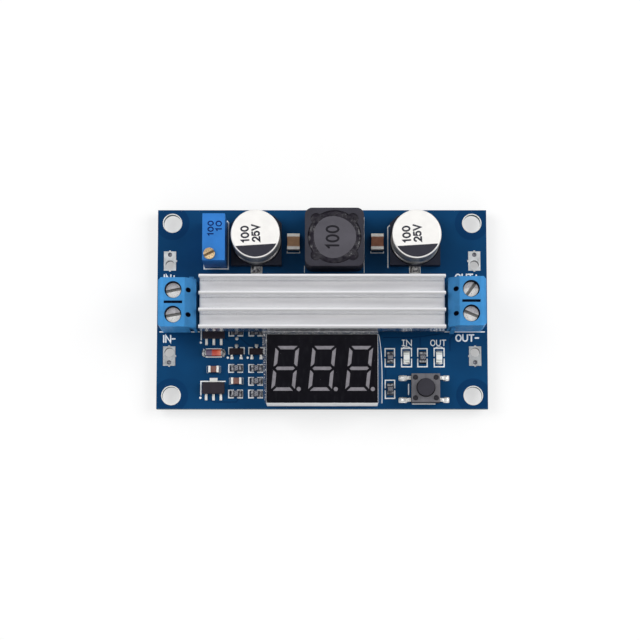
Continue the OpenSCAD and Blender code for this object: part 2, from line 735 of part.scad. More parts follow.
module wire_pads() {
    color("silver")
        for (sx = [-1, 1], sy = [-1, 1])
            difference() {
                union() {
                    for (z = [-pad_t, board_t])
                        translate([sx * pad_x, pad_y(sy), z])
                            slab(pad_w, pad_l, pad_t);
                    intersection() {
                        pad_holes(sx, sy, plating_t);
                        translate([sx * pad_x, pad_y(sy), -pad_t / 2])
                            slab(pad_w, pad_l, board_t + pad_t);
                    }
                }
                pad_holes(sx, sy, 0);
            }
}

// Terminal housing in its own frame
module terminal_housing() {
    difference() {
        union() {
            intersection() {
                along_y(terminal_w)
                    polygon([[wire_side_x, 0], [wire_side_x, terminal_h - terminal_chamfer],
                        [wire_side_x - terminal_chamfer, terminal_h], [slope_x, terminal_h],
                        [-wire_side_x, terminal_slope_h], [-wire_side_x, 0]]);
                linear_extrude(terminal_h)
                    terminal_outline();
            }
            translate([dovetail_x, -terminal_w / 2, 0])
                linear_extrude(dovetail_h)
                    dovetail(0);
        }
        for (sy = [-1, 1])
            translate([0, sy * terminal_pitch / 2, 0])
                terminal_pole_cuts();
        translate([screw_x, 0, terminal_h - mark_groove_h])
            slab(mark_groove_l, mark_groove_w, mark_groove_h + cut);
        translate([dovetail_x, terminal_w / 2, -cut])
            linear_extrude(dovetail_h + dovetail_gap + cut)
                dovetail(dovetail_gap);
    }
}

// Housing seen from above, with its two corners on the wire side cut
module terminal_outline() {
    half = terminal_w / 2;
    corner_x = wire_side_x - terminal_corner;
    polygon([[-wire_side_x, -half], [corner_x, -half], [wire_side_x, terminal_corner - half],
        [wire_side_x, half - terminal_corner], [corner_x, half], [-wire_side_x, half]]);
}

// Dovetail outline that widens towards -Y
module dovetail(extra) {
    root = dovetail_root_w / 2 + extra;
    tip = dovetail_tip_w / 2 + extra;
    tip_y = -dovetail_l - extra;
    polygon([[-root, slip], [root, slip], [tip, tip_y], [-tip, tip_y]]);
}

// Clamp cavity, flared wire entry, screw bore with its ledge, and test hole of one pole
module terminal_pole_cuts() {
    translate([cavity_back_x, -cavity_w / 2, -cut])
        cube([cavity_front_x - cavity_back_x, cavity_w, cavity_h + cut]);
    translate([0, 0, wire_z])
        linear_extrude(contact_z - wire_z)
            polygon([[screw_x, wire_w / 2], [wire_side_x - wire_flare, wire_w / 2],
                [wire_side_x + slip, wire_w / 2 + wire_flare], [wire_side_x + slip, -wire_w / 2 - wire_flare],
                [wire_side_x - wire_flare, -wire_w / 2], [screw_x, -wire_w / 2]]);
    translate([screw_x, 0, 0]) {
        cylinder(d = screw_shank_d + 2 * screw_clearance, h = terminal_h);
        translate([0, 0, head_z])
            cylinder(d = screw_bore_d, h = terminal_h);
    }
    translate([test_hole_x, 0, cavity_h + clamp_wall])
        cylinder(d = test_hole_d, h = terminal_h);
}

// Slotted screw, standing in its terminal's frame with its axis on Z
module terminal_screw(angle) {
    difference() {
        union() {
            translate([0, 0, head_z])
                cylinder(d = screw_head_d, h = screw_head_h);
            translate([0, 0, contact_z + contact_t + slip])
                cylinder(d = screw_shank_d, h = head_z - contact_z - contact_t);
        }
        translate([0, 0, head_top_z - screw_slot_h])
            rotate(angle)
                slab(2 * screw_head_d, screw_slot_w, screw_slot_h + cut);
    }
}

// Wire clamp, a box open along X that hangs on its screw
module terminal_clamp() {
    difference() {
        translate([0, 0, clamp_base_z])
            slab(clamp_l, clamp_w, clamp_top_z - clamp_base_z);
        translate([0, 0, wire_z])
            slab(clamp_l + 2 * cut, wire_w, clamp_top_z - clamp_top_t - wire_z);
        cylinder(d = screw_shank_d + 2 * screw_clearance, h = terminal_h);
    }
}

// Contact strip that runs through the clamp and bends down into its pin
module terminal_contact() {
    middle_x = contact_back_x + contact_t / 2;
    middle_z = contact_z + contact_t / 2;
    translate([contact_back_x, -contact_w / 2, contact_z])
        cube([cavity_front_x - contact_back_x - clamp_gap, contact_w, contact_t]);
    translate([middle_x, 0, -board_t - tail_l])
        slab(contact_t, contact_pin_w, middle_z + board_t + tail_l);
}

// Puts a terminal's pieces in place
module terminal_place(side) {
    on_board(side * terminal_x, terminal_y(side), side < 0 ? 180 : 0)
        children();
}

// Puts a pole's piece on its screw axis: pole is 1 for plus and -1 for minus
module pole_place(side, pole) {
    on_board(side * (terminal_x + screw_x), pole_y(side, pole))
        children();
}

module input_terminal_housing() {
    color("dodgerblue")
        terminal_place(-1)
            terminal_housing();
}

module output_terminal_housing() {
    color("dodgerblue")
        terminal_place(1)
            terminal_housing();
}

module input_plus_screw() {
    color("gainsboro")
        pole_place(-1, 1)
            terminal_screw(input_plus_angle);
}

module input_minus_screw() {
    color("gainsboro")
        pole_place(-1, -1)
            terminal_screw(input_minus_angle);
}

module output_plus_screw() {
    color("gainsboro")
        pole_place(1, 1)
            terminal_screw(output_plus_angle);
}

module output_minus_screw() {
    color("gainsboro")
        pole_place(1, -1)
            terminal_screw(output_minus_angle);
}

module input_plus_clamp() {
    color("lightgray")
        pole_place(-1, 1)
            terminal_clamp();
}

module input_minus_clamp() {
    color("lightgray")
        pole_place(-1, -1)
            terminal_clamp();
}

module output_plus_clamp() {
    color("lightgray")
        pole_place(1, 1)
            terminal_clamp();
}

module output_minus_clamp() {
    color("lightgray")
        pole_place(1, -1)
            terminal_clamp();
}

module terminal_pins(side) {
    terminal_place(side)
        for (sy = [-1, 1])
            translate([0, sy * terminal_pitch / 2, 0])
                terminal_contact();
}

module input_terminal_pins() {
    color("silver")
        terminal_pins(-1);
}

module output_terminal_pins() {
    color("silver")
        terminal_pins(1);
}

// Multi-turn trimmer on four feet, with a hole for its screw
module trimmer_body() {
    foot_x = (trimmer_w - trimmer_foot_w) / 2;
    foot_y = (trimmer_l - trimmer_foot_w) / 2;
    color("royalblue")
        on_board(trimmer_x, trimmer_y)
            difference() {
                union() {
                    translate([0, 0, trimmer_foot_h])
                        slab(trimmer_w, trimmer_l, trimmer_h - trimmer_foot_h);
                    for (sx = [-1, 1], sy = [-1, 1])
                        translate([sx * foot_x, sy * foot_y, 0])
                            slab(trimmer_foot_w, trimmer_foot_w, trimmer_foot_h + slip);
                }
                trimmer_screw_place()
                    cylinder(d = trimmer_screw_d + 2 * slip, h = trimmer_screw_depth + cut);
            }
}

module trimmer_screw_place() {
    translate([trimmer_screw_inset_x - trimmer_w / 2, trimmer_screw_inset_y - trimmer_l / 2,
        trimmer_h - trimmer_screw_depth])
        children();
}

module trimmer_screw() {
    screw_l = trimmer_screw_depth + trimmer_screw_rise;
    color("goldenrod")
        on_board(trimmer_x, trimmer_y)
            trimmer_screw_place()
                difference() {
                    cylinder(d = trimmer_screw_d, h = screw_l);
                    translate([0, 0, screw_l - trimmer_slot_h])
                        rotate(trimmer_slot_angle)
                            slab(2 * trimmer_screw_d, trimmer_slot_w, trimmer_slot_h + cut);
                }
}

module trimmer_pins() {
    color("silver")
        for (p = trimmer_pin_places)
            translate([p[0], p[1], -tail_l])
                cylinder(d = trimmer_pin_d, h = tail_l + board_t + trimmer_foot_h);
}

// Can with a rounded top edge and a crimp groove, turned about its axis
module capacitor_can() {
    r = can_d / 2;
    groove_w = 2 * can_groove_depth;
    rotate_extrude()
        difference() {
            union() {
                translate([0, can_base_h])
                    square([r, can_h - can_base_h - can_edge_r]);
                translate([0, can_base_h])
                    square([r - can_edge_r, can_h - can_base_h]);
                translate([r - can_edge_r, can_h - can_edge_r])
                    circle(can_edge_r);
            }
            translate([r + groove_w - can_groove_depth, can_groove_z])
                circle(groove_w);
            translate([-can_d, 0])
                square([can_d, 2 * can_h]);
        }
}

// Square base with two chamfered corners on the plus side and raised corners round the can
module capacitor_base() {
    half = can_base_w / 2;
    inner = half - can_base_chamfer;
    difference() {
        linear_extrude(can_corner_h)
            polygon([[-half, -half], [half, -half], [half, inner], [inner, half],
                [-inner, half], [-half, inner]]);
        translate([0, 0, can_base_h])
            cylinder(d = can_base_w + 4 * slip, h = can_corner_h);
        for (side = [0, 180])
            rotate(side)
                translate([-can_lead_w / 2 - slip, can_lead_inset - slip, -cut])
                    cube([can_lead_w + 2 * slip, can_base_w, cut + can_lead_t]);
    }
}

// Flat leads in the grooves under the base
module capacitor_leads() {
    for (side = [0, 180])
        rotate(side)
            translate([-can_lead_w / 2, can_lead_inset, 0])
                cube([can_lead_w, can_base_w / 2 - can_lead_inset + can_lead_out, can_lead_t]);
}

module input_capacitor_can() {
    color("white")
        on_board(input_capacitor_x, capacitor_y)
            capacitor_can();
}

module input_capacitor_base() {
    color("black")
        on_board(input_capacitor_x, capacitor_y)
            capacitor_base();
}

module input_capacitor_leads() {
    color("silver")
        on_board(input_capacitor_x, capacitor_y)
            capacitor_leads();
}

module output_capacitor_can() {
    color("white")
        on_board(output_capacitor_x, capacitor_y)
            capacitor_can();
}

module output_capacitor_base() {
    color("black")
        on_board(output_capacitor_x, capacitor_y)
            capacitor_base();
}

module output_capacitor_leads() {
    color("silver")
        on_board(output_capacitor_x, capacitor_y)
            capacitor_leads();
}

// Opening of the shield: a round hole with a glue pocket in each corner
module shield_opening() {
    circle(d = shield_bore_d);
    for (a = [45 : 90 : 315])
        rotate(a)
            translate([shield_pocket_reach, 0])
                circle(d = shield_pocket_d);
}

module inductor_place(z) {
    on_board(inductor_x, inductor_y)
        translate([0, 0, z])
            children();
}

module inductor_shield() {
    color("dimgray")
        inductor_place(inductor_terminal_t)
            linear_extrude(inductor_h - inductor_terminal_t)
                difference() {
                    rounded_square(inductor_w, inductor_corner_r);
                    shield_opening();
                }
}

core_h = inductor_h - inductor_terminal_t - core_recess;

module inductor_core() {
    color("gray")
        inductor_place(inductor_terminal_t) {
            cylinder(d = core_flange_d, h = core_flange_t);
            cylinder(d = core_post_d, h = core_h);
            translate([0, 0, core_h - core_flange_t])
                cylinder(d = core_flange_d, h = core_flange_t);
        }
}

// Winding between the flanges, with the outer turns showing as rounds
module inductor_winding() {
    turns = floor((core_h - 2 * core_flange_t) / winding_wire_d);
    coil_h = turns * winding_wire_d;
    outer_r = core_flange_d / 2 - winding_wire_d;
    color("peru")
        inductor_place(inductor_terminal_t + core_flange_t)
            rotate_extrude() {
                translate([core_post_d / 2 + slip, slip])
                    square([outer_r - core_post_d / 2, coil_h - 2 * slip]);
                for (i = [0 : turns - 1])
                    translate([outer_r, (i + 0.5) * winding_wire_d])
                        circle(d = winding_wire_d - slip);
            }
}

module inductor_terminals() {
    reach = inductor_w / 2;
    color("silver")
        inductor_place(0)
            for (side = [0, 180])
                rotate(side)
                    translate([core_flange_d / 4, -inductor_terminal_w / 2, 0])
                        cube([reach - core_flange_d / 4, inductor_terminal_w, inductor_terminal_t]);
}

// Glue between the upper flange and the shield
module inductor_glue() {
    color("black")
        inductor_place(inductor_terminal_t + core_h - core_flange_t)
            linear_extrude(core_flange_t - glue_recess)
                difference() {
                    shield_opening();
                    circle(d = core_flange_d);
                }
}

// Runs its child on each ceramic capacitor's place, lying along X
module large_ceramic_places() {
    for (x = [input_ceramic_x, output_ceramic_x])
        on_board(x, ceramic_y, 90)
            children();
}

module chip_places(places, angle = 0) {
    for (p = places)
        on_board(p[0], p[1], angle)
            children();
}

module ceramic_bodies() {
    color("saddlebrown") {
        large_ceramic_places()
            chip_core(large_chip_l, large_chip_w, large_chip_h);
        chip_places(small_ceramics)
            chip_core(small_chip_l, small_chip_w, small_ceramic_h);
    }
}

module ceramic_ends() {
    color("silver") {
        large_ceramic_places()
            chip_ends(large_chip_l, large_chip_w, large_chip_h, large_end_l);
        chip_places(small_ceramics)
            chip_ends(small_chip_l, small_chip_w, small_ceramic_h, chip_end_l);
    }
}

// Extruded heatsink: tapered fins on a base
module heatsink() {
    pitch = (heatsink_w - fin_t - fin_draft) / (fin_count - 1);
    root = (fin_t + fin_draft) / 2;
    color("gainsboro")
        on_board(0, power_row_y)
            translate([0, 0, heatsink_z])
                along_x(heatsink_l) {
                    translate([-heatsink_w / 2, 0])
                        square([heatsink_w, heatsink_base_t]);
                    for (i = [0 : fin_count - 1])
                        translate([(i - (fin_count - 1) / 2) * pitch, 0])
                            polygon([[-root, heatsink_base_t / 2], [root, heatsink_base_t / 2],
                                [root, heatsink_base_t], [fin_t / 2, heatsink_h], [-fin_t / 2, heatsink_h],
                                [-root, heatsink_base_t]]);
                }
}

module power_places() {
    for (x = [transistor_place, rectifier_place])
        on_board(x, power_row_y)
            children();
}

module thermal_adhesive() {
    color("whitesmoke")
        power_places()
            translate([0, 0, power_h])
                slab(power_body_l - 2 * adhesive_margin, power_w - 2 * adhesive_margin, adhesive_t);
}

// Moulded power body round its tab, with tapered sides
module power_body() {
    half = power_w / 2;
    difference() {
        along_x(power_body_l)
            polygon([[-half, 0], [half, 0], [half, power_h / 2], [half - power_draft, power_h],
                [power_draft - half, power_h], [-half, power_h / 2]]);
        power_tab(cut);
    }
}

// Metal tab under the body, out at one end and short of the other
module power_tab(extra) {
    tab_l = power_body_l + power_tab_out - power_tab_t;
    tab_w = power_w - power_tab_t;
    translate([-power_body_l / 2 - power_tab_out - extra, -tab_w / 2, -extra])
        cube([tab_l + extra, tab_w, power_tab_t + extra]);
}

module power_metal() {
    power_tab(0);
    for (sy = [-1, 1])
        translate([power_body_l / 2, sy * power_lead_pitch / 2, 0])
            strip(gull_path(power_lead_out, power_h / 2, power_lead_t), power_lead_t, power_lead_w);
}

module power_transistor_body() {
    color("#222222")
        on_board(transistor_place, power_row_y)
            power_body();
}

module power_transistor_metal() {
    color("silver")
        on_board(transistor_place, power_row_y)
            power_metal();
}

module rectifier_body() {
    color("#222222")
        on_board(rectifier_place, power_row_y)
            power_body();
}

module rectifier_metal() {
    color("silver")
        on_board(rectifier_place, power_row_y)
            power_metal();
}

// Moulded chip body that stands a little above the board
module moulded_chip(l, w, h) {
    draft = h / 8;
    stand = h / 10;
    along_x(l)
        polygon([[draft - w / 2, stand], [w / 2 - draft, stand], [w / 2, h / 2], [w / 2 - draft, h],
            [draft - w / 2, h], [-w / 2, h / 2]]);
}

// Two rows of gull-wing leads along a chip's long sides
module chip_lead_rows(count, pitch, w) {
    for (side = [90, 270], i = [0 : count - 1])
        rotate(side)
            translate([w / 2, (i - (count - 1) / 2) * pitch, 0])
                strip(gull_path(chip_lead_out, chip_h / 2, thin_lead_t), thin_lead_t, chip_lead_w);
}

module controller_place(x) {
    on_board(x, power_row_y + chip_row_offset)
        children();
}

module controller_bodies() {
    color("#222222") {
        controller_place(converter_place)
            moulded_chip(converter_chip_w, converter_chip_w, chip_h);
        controller_place(meter_place)
            moulded_chip(meter_chip_l, meter_chip_w, chip_h);
    }
}

module controller_leads() {
    color("silver") {
        controller_place(converter_place)
            chip_lead_rows(converter_lead_count, converter_lead_pitch, converter_chip_w);
        controller_place(meter_place)
            chip_lead_rows(meter_lead_count, meter_lead_pitch, meter_chip_w);
    }
}

// Slanted digit: upper, lower and middle bars, four side bars and a point
function slanted(points) = [for (p = points) [p[0] + p[1] * tan(digit_slant), p[1]]];
function flipped(points, sx, sy) = [for (p = points) [p[0] * sx, p[1] * sy]];
half_w = digit_w / 2;
half_h = digit_h / 2;
bar_gap = segment_gap / sqrt(2);
top_bar = [[bar_gap - half_w, half_h], [half_w - bar_gap, half_h],
    [half_w - segment_w - bar_gap, half_h - segment_w], [segment_w + bar_gap - half_w, half_h - segment_w]];
middle_reach = half_w - segment_w / 2;
middle_bar = [[-middle_reach, 0], [segment_w / 2 - middle_reach, segment_w / 2],
    [middle_reach - segment_w / 2, segment_w / 2], [middle_reach, 0],
    [middle_reach - segment_w / 2, -segment_w / 2], [segment_w / 2 - middle_reach, -segment_w / 2]];
side_bar = [[half_w, half_h - bar_gap], [half_w, bar_gap], [half_w - segment_w / 2, segment_w / 4 + bar_gap],
    [half_w - segment_w, segment_w / 2 + 2 * bar_gap], [half_w - segment_w, half_h - segment_w - bar_gap]];

module digit() {
    for (sy = [-1, 1])
        polygon(slanted(flipped(top_bar, 1, sy)));
    polygon(slanted(middle_bar));
    for (sx = [-1, 1], sy = [-1, 1])
        polygon(slanted(flipped(side_bar, sx, sy)));
    translate([point_reach - half_h * tan(digit_slant), segment_w / 2 - half_h])
        circle(d = point_d);
}

module digits(h) {
    linear_extrude(h)
        for (i = [-1, 0, 1])
            translate([i * digit_pitch, 0])
                digit();
}

module display_place(z) {
    on_board(0, display_y)
        translate([0, 0, z])
            children();
}

well_z = display_h - display_face_t - display_well_h;

module display_housing() {
    color("lightgray")
        difference() {
            display_place(0)
                slab(display_l, display_w, display_h - display_face_t);
            display_place(well_z)
                digits(display_well_h + cut);
            for (p = display_pin_places)
                translate([p[0], p[1], 0])
                    cylinder(d = display_pin_d + 2 * slip, h = board_t + well_z / 2);
        }
}

module display_face() {
    color("#151517")
        display_place(display_h - display_face_t)
            difference() {
                slab(display_l - 2 * display_rim, display_w - 2 * display_rim, display_face_t);
                translate([0, 0, -cut])
                    digits(display_face_t + 2 * cut);
            }
}

module display_segments() {
    color("gray")
        display_place(well_z)
            digits(display_well_h + display_face_t);
}

module display_pins() {
    color("silver")
        for (p = display_pin_places)
            translate([p[0], p[1], -tail_l])
                cylinder(d = display_pin_d, h = tail_l + board_t + well_z / 2);
}

// Clear film that lies askew on the face, with a bent flap at its right front corner
module display_film() {
    bend_steps = 6;
    edge_x = display_l / 2;
    half_y = (display_w + film_reach) / 2;
    bend = [for (i = [0 : bend_steps]) let (a = film_flap_angle * i / bend_steps)
        [edge_x + film_bend_r * sin(a), film_bend_r * (cos(a) - 1)]];
    foot = bend[bend_steps];
    flap = foot + (film_flap - film_bend_r) * [cos(film_flap_angle), -sin(film_flap_angle)];
    path = concat([[-edge_x - film_left, 0]], bend, [flap]);
    color([0.8, 0.9, 1, 0.4])
        display_place(display_h + slip + film_t / 2)
            translate([0, film_reach / 2, 0])
                intersection() {
                    strip(path, film_t, 2 * half_y);
                    linear_extrude(2 * display_h, center = true)
                        polygon([[-edge_x, -half_y], [edge_x + film_flap, -half_y], [edge_x, half_y],
                            [-edge_x - film_left, half_y]]);
                }
}

module switch_place(z) {
    on_board(switch_x, switch_y)
        translate([0, 0, z])
            children();
}

module switch_posts(d, h) {
    for (sx = [-1, 1], sy = [-1, 1])
        translate([sx * post_reach, sy * post_reach, 0])
            cylinder(d = d, h = h);
}

// Base with a round cavity for the dome and rivet posts that hold the cover
module switch_base() {
    color("#222222")
        switch_place(0) {
            difference() {
                slab(switch_w, switch_w, switch_base_h);
                translate([0, 0, switch_floor_h])
                    cylinder(d = switch_cavity_d, h = switch_base_h);
            }
            translate([0, 0, switch_base_h - slip])
                switch_posts(post_d, switch_cover_t + post_rise + slip);
        }
}

module switch_cover() {
    color("dimgray")
        switch_place(switch_base_h)
            difference() {
                slab(switch_w, switch_w, switch_cover_t);
                translate([0, 0, -cut])
                    cylinder(d = button_d + 2 * button_clearance, h = switch_cover_t + 2 * cut);
                translate([0, 0, -cut])
                    switch_posts(post_d + 2 * slip, switch_cover_t + 2 * cut);
            }
}

flange_z = switch_base_h - slip - button_flange_t;
// The dome snaps through half its height
dome_h = 2 * button_travel;
stem_z = switch_floor_h + dome_h + slip;

// Button with a flange that is held under the cover and a stem that stands on the dome
module switch_button() {
    color("#2b2b2e") {
        switch_place(flange_z) {
            cylinder(d = button_flange_d, h = button_flange_t);
            cylinder(d = button_d, h = button_h - flange_z);
        }
        switch_place(stem_z)
            cylinder(d = button_stem_d, h = flange_z + slip - stem_z);
    }
}

// Snap dome, a thin cap of a sphere on the cavity's floor
module switch_dome() {
    // The wall is thin for its radius, so its spheres are drawn fine
    dome_fn = 200;
    half = dome_d / 2;
    sphere_r = (half * half + dome_h * dome_h) / (2 * dome_h);
    color("silver")
        switch_place(switch_floor_h)
            intersection() {
                translate([0, 0, dome_h - sphere_r])
                    difference() {
                        sphere(sphere_r, $fn = dome_fn);
                        sphere(sphere_r - dome_t, $fn = dome_fn);
                    }
                cylinder(d = dome_d, h = dome_h + cut);
            }
}

module switch_leads() {
    color("silver")
        switch_place(0)
            for (side = [0, 180], sy = [-1, 1])
                rotate(side)
                    translate([switch_w / 2, sy * switch_lead_pitch / 2, 0])
                        strip(gull_path(switch_lead_out, switch_floor_h / 2, switch_lead_t),
                            switch_lead_t, switch_lead_w);
}

// Regulator packages with three flat leads in front and a wide tab behind
module regulator_bodies() {
    color("#2a2a2c")
        chip_places(regulator_places)
            translate([0, 0, regulator_lead_t])
                moulded_chip(regulator_l, regulator_w, regulator_h - regulator_lead_t);
}

module regulator_leads() {
    color("silver")
        chip_places(regulator_places) {
            for (i = [-1, 0, 1])
                translate([i * regulator_pitch, -(regulator_w + regulator_lead_out) / 2, 0])
                    slab(regulator_lead_w, regulator_lead_out + regulator_w / 4, regulator_lead_t);
            translate([0, (regulator_w + regulator_tab_out) / 2, 0])
                slab(regulator_tab_w, regulator_tab_out + regulator_w / 4, regulator_lead_t);
        }
}

// Small transistors with one lead behind and two in front
module transistor_bodies() {
    color("#2a2a2c")
        chip_places(transistor_places)
            moulded_chip(small_transistor_l, small_transistor_w, small_transistor_h);
}

module transistor_leads() {
    path = gull_path(transistor_lead_out, small_transistor_h / 2, thin_lead_t);
    color("silver")
        chip_places(transistor_places) {
            for (i = [-1, 1])
                translate([i * small_transistor_pitch / 2, -small_transistor_w / 2, 0])
                    rotate(-90)
                        strip(path, thin_lead_t, transistor_lead_w);
            translate([0, small_transistor_w / 2, 0])
                rotate(90)
                    strip(path, thin_lead_t, transistor_lead_w);
        }
}

// Glass diode lying along X between two end caps
module diode_place() {
    on_board(column_3, diode_y)
        translate([0, 0, diode_d / 2])
            rotate([0, 90, 0])
                children();
}

module diode_glass() {
    glass_l = diode_l - 2 * diode_cap_l;
    color("firebrick")
        diode_place()
            translate([0, 0, -glass_l / 2])
                cylinder(d = diode_d - 2 * diode_cap_step, h = glass_l);
}

module diode_ends() {
    color("silver")
        diode_place()
            for (z = [-diode_l / 2, diode_l / 2 - diode_cap_l])
                translate([0, 0, z])
                    cylinder(d = diode_d, h = diode_cap_l);
}

module resistor_bodies() {
    color("white") {
        chip_places(flat_resistors)
            chip_core(small_chip_l, small_chip_w, resistor_h);
        chip_places(upright_resistors, 90)
            chip_core(small_chip_l, small_chip_w, resistor_h);
    }
}

module resistor_coat() {
    translate([0, 0, resistor_h + chip_end_t])
        slab(small_chip_l - 2 * chip_end_l - 2 * slip, small_chip_w, resistor_coat_t);
}

module resistor_coats() {
    color("#1c1c1e") {
        chip_places(flat_resistors)
            resistor_coat();
        chip_places(upright_resistors, 90)
            resistor_coat();
    }
}

module resistor_ends() {
    color("silver") {
        chip_places(flat_resistors)
            chip_ends(small_chip_l, small_chip_w, resistor_h, chip_end_l);
        chip_places(upright_resistors, 90)
            chip_ends(small_chip_l, small_chip_w, resistor_h, chip_end_l);
    }
}

// Indicator lamps: a flat base with a tapered lens
module lamp_bases() {
    color("ivory")
        chip_places(lamp_places, 90)
            slab(small_chip_l, small_chip_w, lamp_base_h);
}

module lamp_lenses() {
    half = lamp_lens_l / 2;
    taper = lamp_lens_h / 4;
    color("whitesmoke")
        chip_places(lamp_places, 90)
            translate([0, 0, lamp_base_h])
                along_y(small_chip_w)
                    polygon([[-half, 0], [half, 0],
                        [half - taper, lamp_lens_h], [taper - half, lamp_lens_h]]);
}

circuit_board();
wire_pads();
input_terminal_housing();
output_terminal_housing();
input_plus_screw();
input_minus_screw();
output_plus_screw();
output_minus_screw();
input_plus_clamp();
input_minus_clamp();
output_plus_clamp();
output_minus_clamp();
input_terminal_pins();
output_terminal_pins();
trimmer_body();
trimmer_screw();
trimmer_pins();
input_capacitor_can();
input_capacitor_base();
input_capacitor_leads();
output_capacitor_can();
output_capacitor_base();
output_capacitor_leads();
inductor_shield();
inductor_core();
inductor_winding();
inductor_terminals();
inductor_glue();
ceramic_bodies();
ceramic_ends();
heatsink();
thermal_adhesive();
power_transistor_body();
power_transistor_metal();
rectifier_body();
rectifier_metal();
controller_bodies();
controller_leads();
display_housing();
display_face();
display_segments();
display_pins();
display_film();
switch_base();
switch_cover();
switch_button();
switch_dome();
switch_leads();
regulator_bodies();
regulator_leads();
transistor_bodies();
transistor_leads();
diode_glass();
diode_ends();
resistor_bodies();
resistor_coats();
resistor_ends();
lamp_bases();
lamp_lenses();
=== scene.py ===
"""Looks of the step-up converter module: finishes, prints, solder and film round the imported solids.

Shapes and finishes are drawn in millimetres. A new piece is scaled to the frame's metres when it is made.
"""

import json
import math

import bmesh
import bpy
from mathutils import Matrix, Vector


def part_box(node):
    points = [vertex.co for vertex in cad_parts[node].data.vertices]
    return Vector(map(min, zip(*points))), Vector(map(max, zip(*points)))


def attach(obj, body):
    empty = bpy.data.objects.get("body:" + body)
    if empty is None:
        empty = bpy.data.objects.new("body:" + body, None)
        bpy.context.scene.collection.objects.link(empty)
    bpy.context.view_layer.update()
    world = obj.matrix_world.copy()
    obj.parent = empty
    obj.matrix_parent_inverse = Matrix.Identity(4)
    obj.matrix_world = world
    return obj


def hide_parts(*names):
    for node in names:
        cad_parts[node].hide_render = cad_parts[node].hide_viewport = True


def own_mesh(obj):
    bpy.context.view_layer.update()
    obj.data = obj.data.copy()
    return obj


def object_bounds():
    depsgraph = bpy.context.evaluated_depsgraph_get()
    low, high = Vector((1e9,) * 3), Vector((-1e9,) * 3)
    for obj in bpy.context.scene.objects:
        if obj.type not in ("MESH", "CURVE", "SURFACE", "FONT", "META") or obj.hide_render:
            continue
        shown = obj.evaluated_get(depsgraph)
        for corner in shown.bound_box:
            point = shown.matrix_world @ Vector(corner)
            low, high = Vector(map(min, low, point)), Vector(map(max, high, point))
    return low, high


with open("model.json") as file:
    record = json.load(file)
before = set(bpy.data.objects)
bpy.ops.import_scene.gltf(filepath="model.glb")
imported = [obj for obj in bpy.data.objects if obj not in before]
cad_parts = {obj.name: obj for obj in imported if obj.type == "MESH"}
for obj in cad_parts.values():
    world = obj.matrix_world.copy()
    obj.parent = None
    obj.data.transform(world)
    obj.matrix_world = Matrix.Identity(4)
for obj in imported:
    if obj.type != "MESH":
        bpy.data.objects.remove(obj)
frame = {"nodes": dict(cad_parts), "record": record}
cad_low, cad_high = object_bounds()

MM = 0.001
BODY = "module"
NODES = frame["nodes"]
ALONG_X, ALONG_Y = Vector((1, 0, 0)), Vector((0, 1, 0))


def both(part):
    """Names of a part on the input and on the output side."""
    return [f"{side}_{part}" for side in ("input", "output")]


# Places read from the frame

def box_of(node):
    """Lowest and highest corner of a node's box."""
    low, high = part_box(node)
    return low / MM, high / MM


def middle(node):
    """Centre of a node's box."""
    low, high = box_of(node)
    return (low + high) / 2


def top_of(node):
    return box_of(node)[1].z


def island_points(node):
    """Points of each of a node's separate solids."""
    mesh = NODES[node].data
    spots = [tuple(round(c / MM, 4) for c in v.co) for v in mesh.vertices]
    parent = {s: s for s in spots}

    def root(spot):
        while parent[spot] != spot:
            parent[spot] = parent[parent[spot]]
            spot = parent[spot]
        return spot

    for polygon in mesh.polygons:
        first = root(spots[polygon.vertices[0]])
        for index in polygon.vertices[1:]:
            parent[root(spots[index])] = first
    groups = {}
    for spot, vertex in zip(spots, mesh.vertices):
        groups.setdefault(root(spot), []).append(vertex.co / MM)
    return list(groups.values())


def islands(node):
    """Boxes of a node's separate solids, as (lowest corner, highest corner), from left to right."""
    boxes = [(Vector(map(min, zip(*g))), Vector(map(max, zip(*g)))) for g in island_points(node)]
    return sorted(boxes, key=lambda b: (round(b[0].x, 2), round(b[0].y, 2), b[0].z))


def large_end(solid):
    """True for an end of a large ceramic."""
    return solid[1].z - solid[0].z > 1.2


BOARD_LOW, BOARD_HIGH = box_of("circuit_board")
BOARD_BOTTOM, BOARD_TOP = BOARD_LOW.z, BOARD_HIGH.z
HOLES = next(mount["dims"] for mount in frame["record"]["mounts"] if mount["name"] == "mounting_holes")
MOUNT_R, REACH_X, REACH_Y = HOLES["hole_r_mm"], HOLES["spacing_x_mm"] / 2, HOLES["spacing_y_mm"] / 2
MOUNT_HOLES = [(sx * REACH_X, sy * REACH_Y) for sx in (-1, 1) for sy in (-1, 1)]


# Materials

BLACK, WHITE = (0, 0, 0, 1), (1, 1, 1, 1)
SOCKETS = {
    "color": "Base Color", "rough": "Roughness", "metal": "Metallic", "specular": "Specular IOR Level",
    "coat": "Coat Weight", "coat_rough": "Coat Roughness", "ior": "IOR", "alpha": "Alpha",
    "glow": "Emission Strength", "glow_color": "Emission Color",
}


def screen(r, g, b):
    """Linear colour of an 8-bit screen colour."""
    parts = [c / 255 for c in (r, g, b)]
    return [c / 12.92 if c <= 0.04045 else ((c + 0.055) / 1.055) ** 2.4 for c in parts] + [1.0]


def shade(color, share):
    """The colour made darker or lighter by a share."""
    return [min(1.0, c * share) for c in color[:3]] + [1.0]


